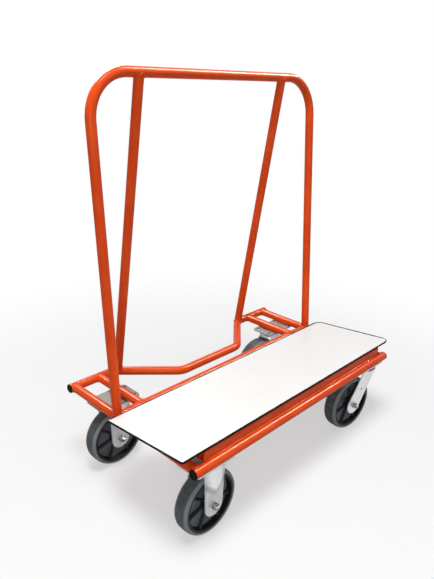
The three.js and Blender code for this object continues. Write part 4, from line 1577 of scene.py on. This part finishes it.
# %% Swivel head outlines
RACEWAY_R = 43 * MM
RACEWAY_DEPTH = 6 * MM
RACEWAY_SINK = 1 * MM
RACEWAY_ROUNDING = 2 * MM
RACE_HEIGHT = 7 * MM
CROWN_R = 50 * MM
CROWN_SHEET = 9 * MM
CROWN_LIP = 8 * MM
CROWN_ROUNDING = 1.6 * MM
LIP_WALL = 3 * MM
KING_R = 8 * MM
KING_HEAD_DEPTH = 4 * MM
KING_ROUNDING = 0.8 * MM

raceway_bottom = plate_bottom - RACEWAY_DEPTH
race_middle = raceway_bottom - SEAT_GAP - RACE_HEIGHT / 2
crown_top = raceway_bottom - 2 * SEAT_GAP - RACE_HEIGHT
crown_bottom = crown_top - CROWN_SHEET
pin_clear = KING_R + SEAT_GAP


def raceway_outline():
    """The closed section of the upper raceway, which is sunk a little into the plate."""
    corners = [
        (pin_clear, raceway_bottom),
        (RACEWAY_R - RACEWAY_DEPTH / 2, raceway_bottom),
        (RACEWAY_R, raceway_bottom + RACEWAY_DEPTH / 2),
        (RACEWAY_R, plate_bottom + RACEWAY_SINK),
        (pin_clear, plate_bottom + RACEWAY_SINK),
    ]
    return softened(corners, RACEWAY_ROUNDING)


def crown_outline():
    """The closed section of the crown, whose lip stands up round the balls."""
    corners = [
        (pin_clear, crown_bottom),
        (CROWN_R - CROWN_SHEET / 2, crown_bottom),
        (CROWN_R, crown_bottom + CROWN_SHEET / 2),
        (CROWN_R, crown_top + CROWN_LIP),
        (CROWN_R - LIP_WALL, crown_top + CROWN_LIP),
        (CROWN_R - LIP_WALL, crown_top),
        (pin_clear, crown_top),
    ]
    return softened(corners, CROWN_ROUNDING)


def king_pin_outline(low, high):
    """The open section of the pin between two heights, from its foot to the face of its head."""
    corners = [
        (0, low),
        (KING_R, low),
        (KING_R, high - KING_HEAD_DEPTH),
        (KING_HEAD_R, high - KING_HEAD_DEPTH),
        (KING_HEAD_R, high),
        (0, high),
    ]
    return softened(corners, KING_ROUNDING, closed=False)


print(f"swivel heads {(plate_bottom - crown_bottom) / MM:.1f} mm deep")

# %% [markdown]
# ## Balls and cage
# The balls could be instances, but a piece has to be one mesh, so one small sphere of angles is
# copied round a circle by adding the circle's points to the sphere's. The cage is a turned ring
# that joins them.

# %% Balls and cage
RACE_PITCH_R = 34 * MM
BALL_R = 3.4 * MM
BALL_COUNT = 24
BALL_ROWS = 9
BALL_COLUMNS = 14
CAGE_HALF = 2.2 * MM
CAGE_INNER_R = RACE_PITCH_R - 6 * MM
CAGE_OUTER_R = RACE_PITCH_R + 1.5 * MM
CAGE_ROUNDING = 0.8 * MM


def ball_ring(centre):
    """Balls and their cage: a sphere (sin u cos v, sin u sin v, cos u) at even steps round the
    pitch circle, and a closed ring at the same height."""
    u = np.linspace(0, np.pi, BALL_ROWS)[:, None]
    v = full_turn(BALL_COLUMNS)[None, :]
    around = np.broadcast_arrays(np.sin(u) * np.cos(v), np.sin(u) * np.sin(v), np.cos(u))
    sphere = BALL_R * np.stack(around, axis=-1)
    f = full_turn(BALL_COUNT)
    race = np.array((centre.x, centre.y, race_middle))
    places = race + RACE_PITCH_R * np.stack([np.cos(f), np.sin(f), 0 * f], axis=1)
    balls = [grid(sphere + place, False, True) for place in places]
    section = soft_rectangle(CAGE_INNER_R, CAGE_OUTER_R, -CAGE_HALF, CAGE_HALF, CAGE_ROUNDING)
    cage = turned(section, race, ALONG_Z, closed=True)
    return joined(balls + [cage])


print(f"{BALL_COUNT} balls to a ring")

# %% [markdown]
# ## Swivel heads
# Now each head is put together about its king pin. The legs lean back to the axle, which trails
# behind the pin, and the axle's own directions turn them with the wheel. One turned solid could
# stand for the whole head, but the parts move differently: raceway, balls, pin and nut stay with the
# frame, while crown and legs turn with the wheel.

# %% Swivel heads
SWIVEL_TOP_HALF = 35 * MM
KING_HEX_HALF = 12 * MM

for end in ENDS:
    name = f"{end}_right"
    fork = f"{name}_swivel_fork"
    king = middle(f"{name}_king_pin")
    king.z = 0
    axle, axes = axle_of(name)
    trail = math.hypot(axle[0] - king.x, axle[1] - king.y)
    hub = np.array((-trail, axle_z))
    hole = np.array((-trail / 2, (crown_bottom + axle_z) / 2))
    leg_top = crown_bottom + CROWN_SHEET / 2
    legs = legs_surface(king, axes, hub, SWIVEL_TOP_HALF, leg_top, hole=hole)
    add_piece(f"{name}_legs", legs, "caster_zinc", [fork], bevel=LEG_BEVEL)
    crown = turned(crown_outline(), king, ALONG_Z, closed=True)
    add_piece(f"{name}_crown", crown, "caster_zinc", [fork])
    raceway = turned(raceway_outline(), king, ALONG_Z, closed=True)
    add_piece(f"{name}_raceway", raceway, "caster_zinc", [f"{name}_top_plate"])
    add_piece(f"{name}_balls", ball_ring(king), "fastener_steel", [f"{name}_ball_race"])
    pin_low, pin_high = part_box(f"{name}_king_pin")
    pin_section = king_pin_outline(pin_low.z, pin_high.z)
    pin = turned(pin_section, king, ALONG_Z, steps=SMALL_TURN_STEPS)
    add_piece(f"{name}_pin", pin, "fastener_steel", [f"{name}_king_pin"])
    nut_node = f"{name}_king_nut"
    nut_half = span(nut_node).z / 2
    nut = nut_surface(middle(nut_node), ALONG_Z, nut_half, KING_HEX_HALF, pin_clear)
    add_piece(f"{name}_pin_nut", nut, "fastener_steel", [nut_node])
print("2 swivel heads")

# %% [markdown]
# ## Floor
# The cart stands on a plain pale floor. If that were white for all light, it would brighten the cart
# from below. So for light that bounces about it is an ordinary matte grey, and the undersides of
# the tubes stay dark. What the camera and shiny surfaces see is lifted towards clean white, a part
# of the way near the cart, where the shadow has to stay, and all the way further out, so that floor
# and surroundings meet without a line.

# %% Floor
FLOOR_RINGS = np.array([0, 1, 2, 4, 9.0])
FLOOR_SIDES = 64
FLOOR_GREY = (0.40, 0.40, 0.40, 1)
FLOOR_WHITE = (0.95, 0.95, 0.95, 1)
NEAR_LIFT = 0.50
FADE_START = 0.6
FADE_END = 1.9


def background_seen(wire):
    """1 for rays that show the background: from the camera, or by way of gloss or glass."""
    node = wire.tree.nodes.new("ShaderNodeLightPath")
    kinds = ("Camera", "Glossy", "Transmission")
    direct, gloss, glass = (Wire(wire.tree, node.outputs[f"Is {kind} Ray"]) for kind in kinds)
    return direct.larger(gloss).larger(glass)


def make_floor_finish():
    """Matte, mixed with white by a share that grows with the distance from the cart."""
    floor = Finish("pale_floor", Roughness=0.9, Specular_IOR_Level=0.0)
    seen = background_seen(floor.place)
    floor.feed("Base Color", seen.blend(FLOOR_GREY, FLOOR_WHITE))
    length = {"operation": "LENGTH"}
    distance = floor.place.make("ShaderNodeVectorMath", length, {0: floor.place}, "Value")
    lift = NEAR_LIFT + (1 - NEAR_LIFT) * distance.ramp(FADE_START, FADE_END)
    white = floor.place.make("ShaderNodeEmission")
    matte = Wire(floor.tree, floor.shader.outputs["BSDF"])
    mixed = floor.place.make("ShaderNodeMixShader", None, {0: lift * seen, 1: matte, 2: white})
    output = floor.tree.nodes["Material Output"]
    floor.tree.links.new(mixed.socket, output.inputs["Surface"])
    return floor.material


def make_floor():
    """A disc: each ring's radius times a circle of directions."""
    f = full_turn(FLOOR_SIDES)[:, None]
    spokes = np.concatenate([np.cos(f), np.sin(f), 0 * f], axis=1)
    points, quads = grid(FLOOR_RINGS[:, None, None] * spokes, False, True)
    mesh = bpy.data.meshes.new("studio_floor")
    mesh.from_pydata(points, [], quads[:, ::-1])
    mesh.validate()
    mesh.materials.append(make_floor_finish())
    floor = add_object("studio_floor", mesh)


make_floor()
print(f"floor of {FLOOR_RINGS[-1]:.0f} m radius")

# %% [markdown]
# ## Surroundings and lamps
# White surroundings give only a little light, but the camera and shiny surfaces see them as white. A
# key lamp from the left front and a broad lamp overhead light the cart softly. The bright streaks on
# the tubes need lamps at the right and at the rear, which would throw shadows and flatten the
# colours, so these two show in glossy surfaces alone and light nothing else.

# %% Surroundings and lamps
WORLD_LIGHT = 0.25
WHITE = (1, 1, 1, 1)
SHINE_COLOUR = (1.0, 0.93, 0.80)
CART_MIDDLE = (0, 0, 0.5)
LAMPS = {
    "key_lamp": {"place": (-2.6, -2.5, 1.7), "size": (0.9, 0.9), "power": 26},
    "sky_lamp": {"place": (-0.7, -0.4, 4.2), "size": (1.4, 1.4), "power": 118},
    "right_strip": {"place": (2.02, -0.5, 3.29), "aim_at": (-0.48, -0.5, 1.04),
                    "size": (0.5, 2.3), "power": 440, "only_shine": True},
    "rear_panel": {"place": (0.3, 2.4, 3.0), "aim_at": (0.3, 0, 0.3),
                   "size": (2.0, 1.0), "power": 360, "only_shine": True},
}


def make_world():
    """White, at full strength where it is seen and at a fraction of it as light."""
    world = bpy.data.worlds.new("studio_world")
    bpy.context.scene.world = world
    world.use_nodes = True
    background = world.node_tree.nodes["Background"]
    background.inputs["Color"].default_value = WHITE
    seen = background_seen(Wire(world.node_tree, background.outputs[0]))
    strength = WORLD_LIGHT + (1 - WORLD_LIGHT) * seen
    world.node_tree.links.new(strength.socket, background.inputs["Strength"])


def add_lamp(name, place, size, power, aim_at=CART_MIDDLE, only_shine=False):
    """A soft rectangular lamp at a place, facing a point. One that is only for shine lights
    nothing and throws no shadow, but shows up in glossy surfaces."""
    data = bpy.data.lights.new(name, "AREA")
    data.shape = "RECTANGLE"
    data.size, data.size_y = size
    data.energy = power
    if only_shine:
        data.color = SHINE_COLOUR
    lamp = add_object(name, data)
    lamp.location = place
    lamp.rotation_euler = (Vector(aim_at) - Vector(place)).to_track_quat("-Z", "Y").to_euler()
    lamp.visible_diffuse = not only_shine


make_world()
for name, settings in LAMPS.items():
    add_lamp(name, **settings)
bpy.context.scene.view_settings.view_transform = "Standard"
print(f"surroundings and {len(LAMPS)} lamps")
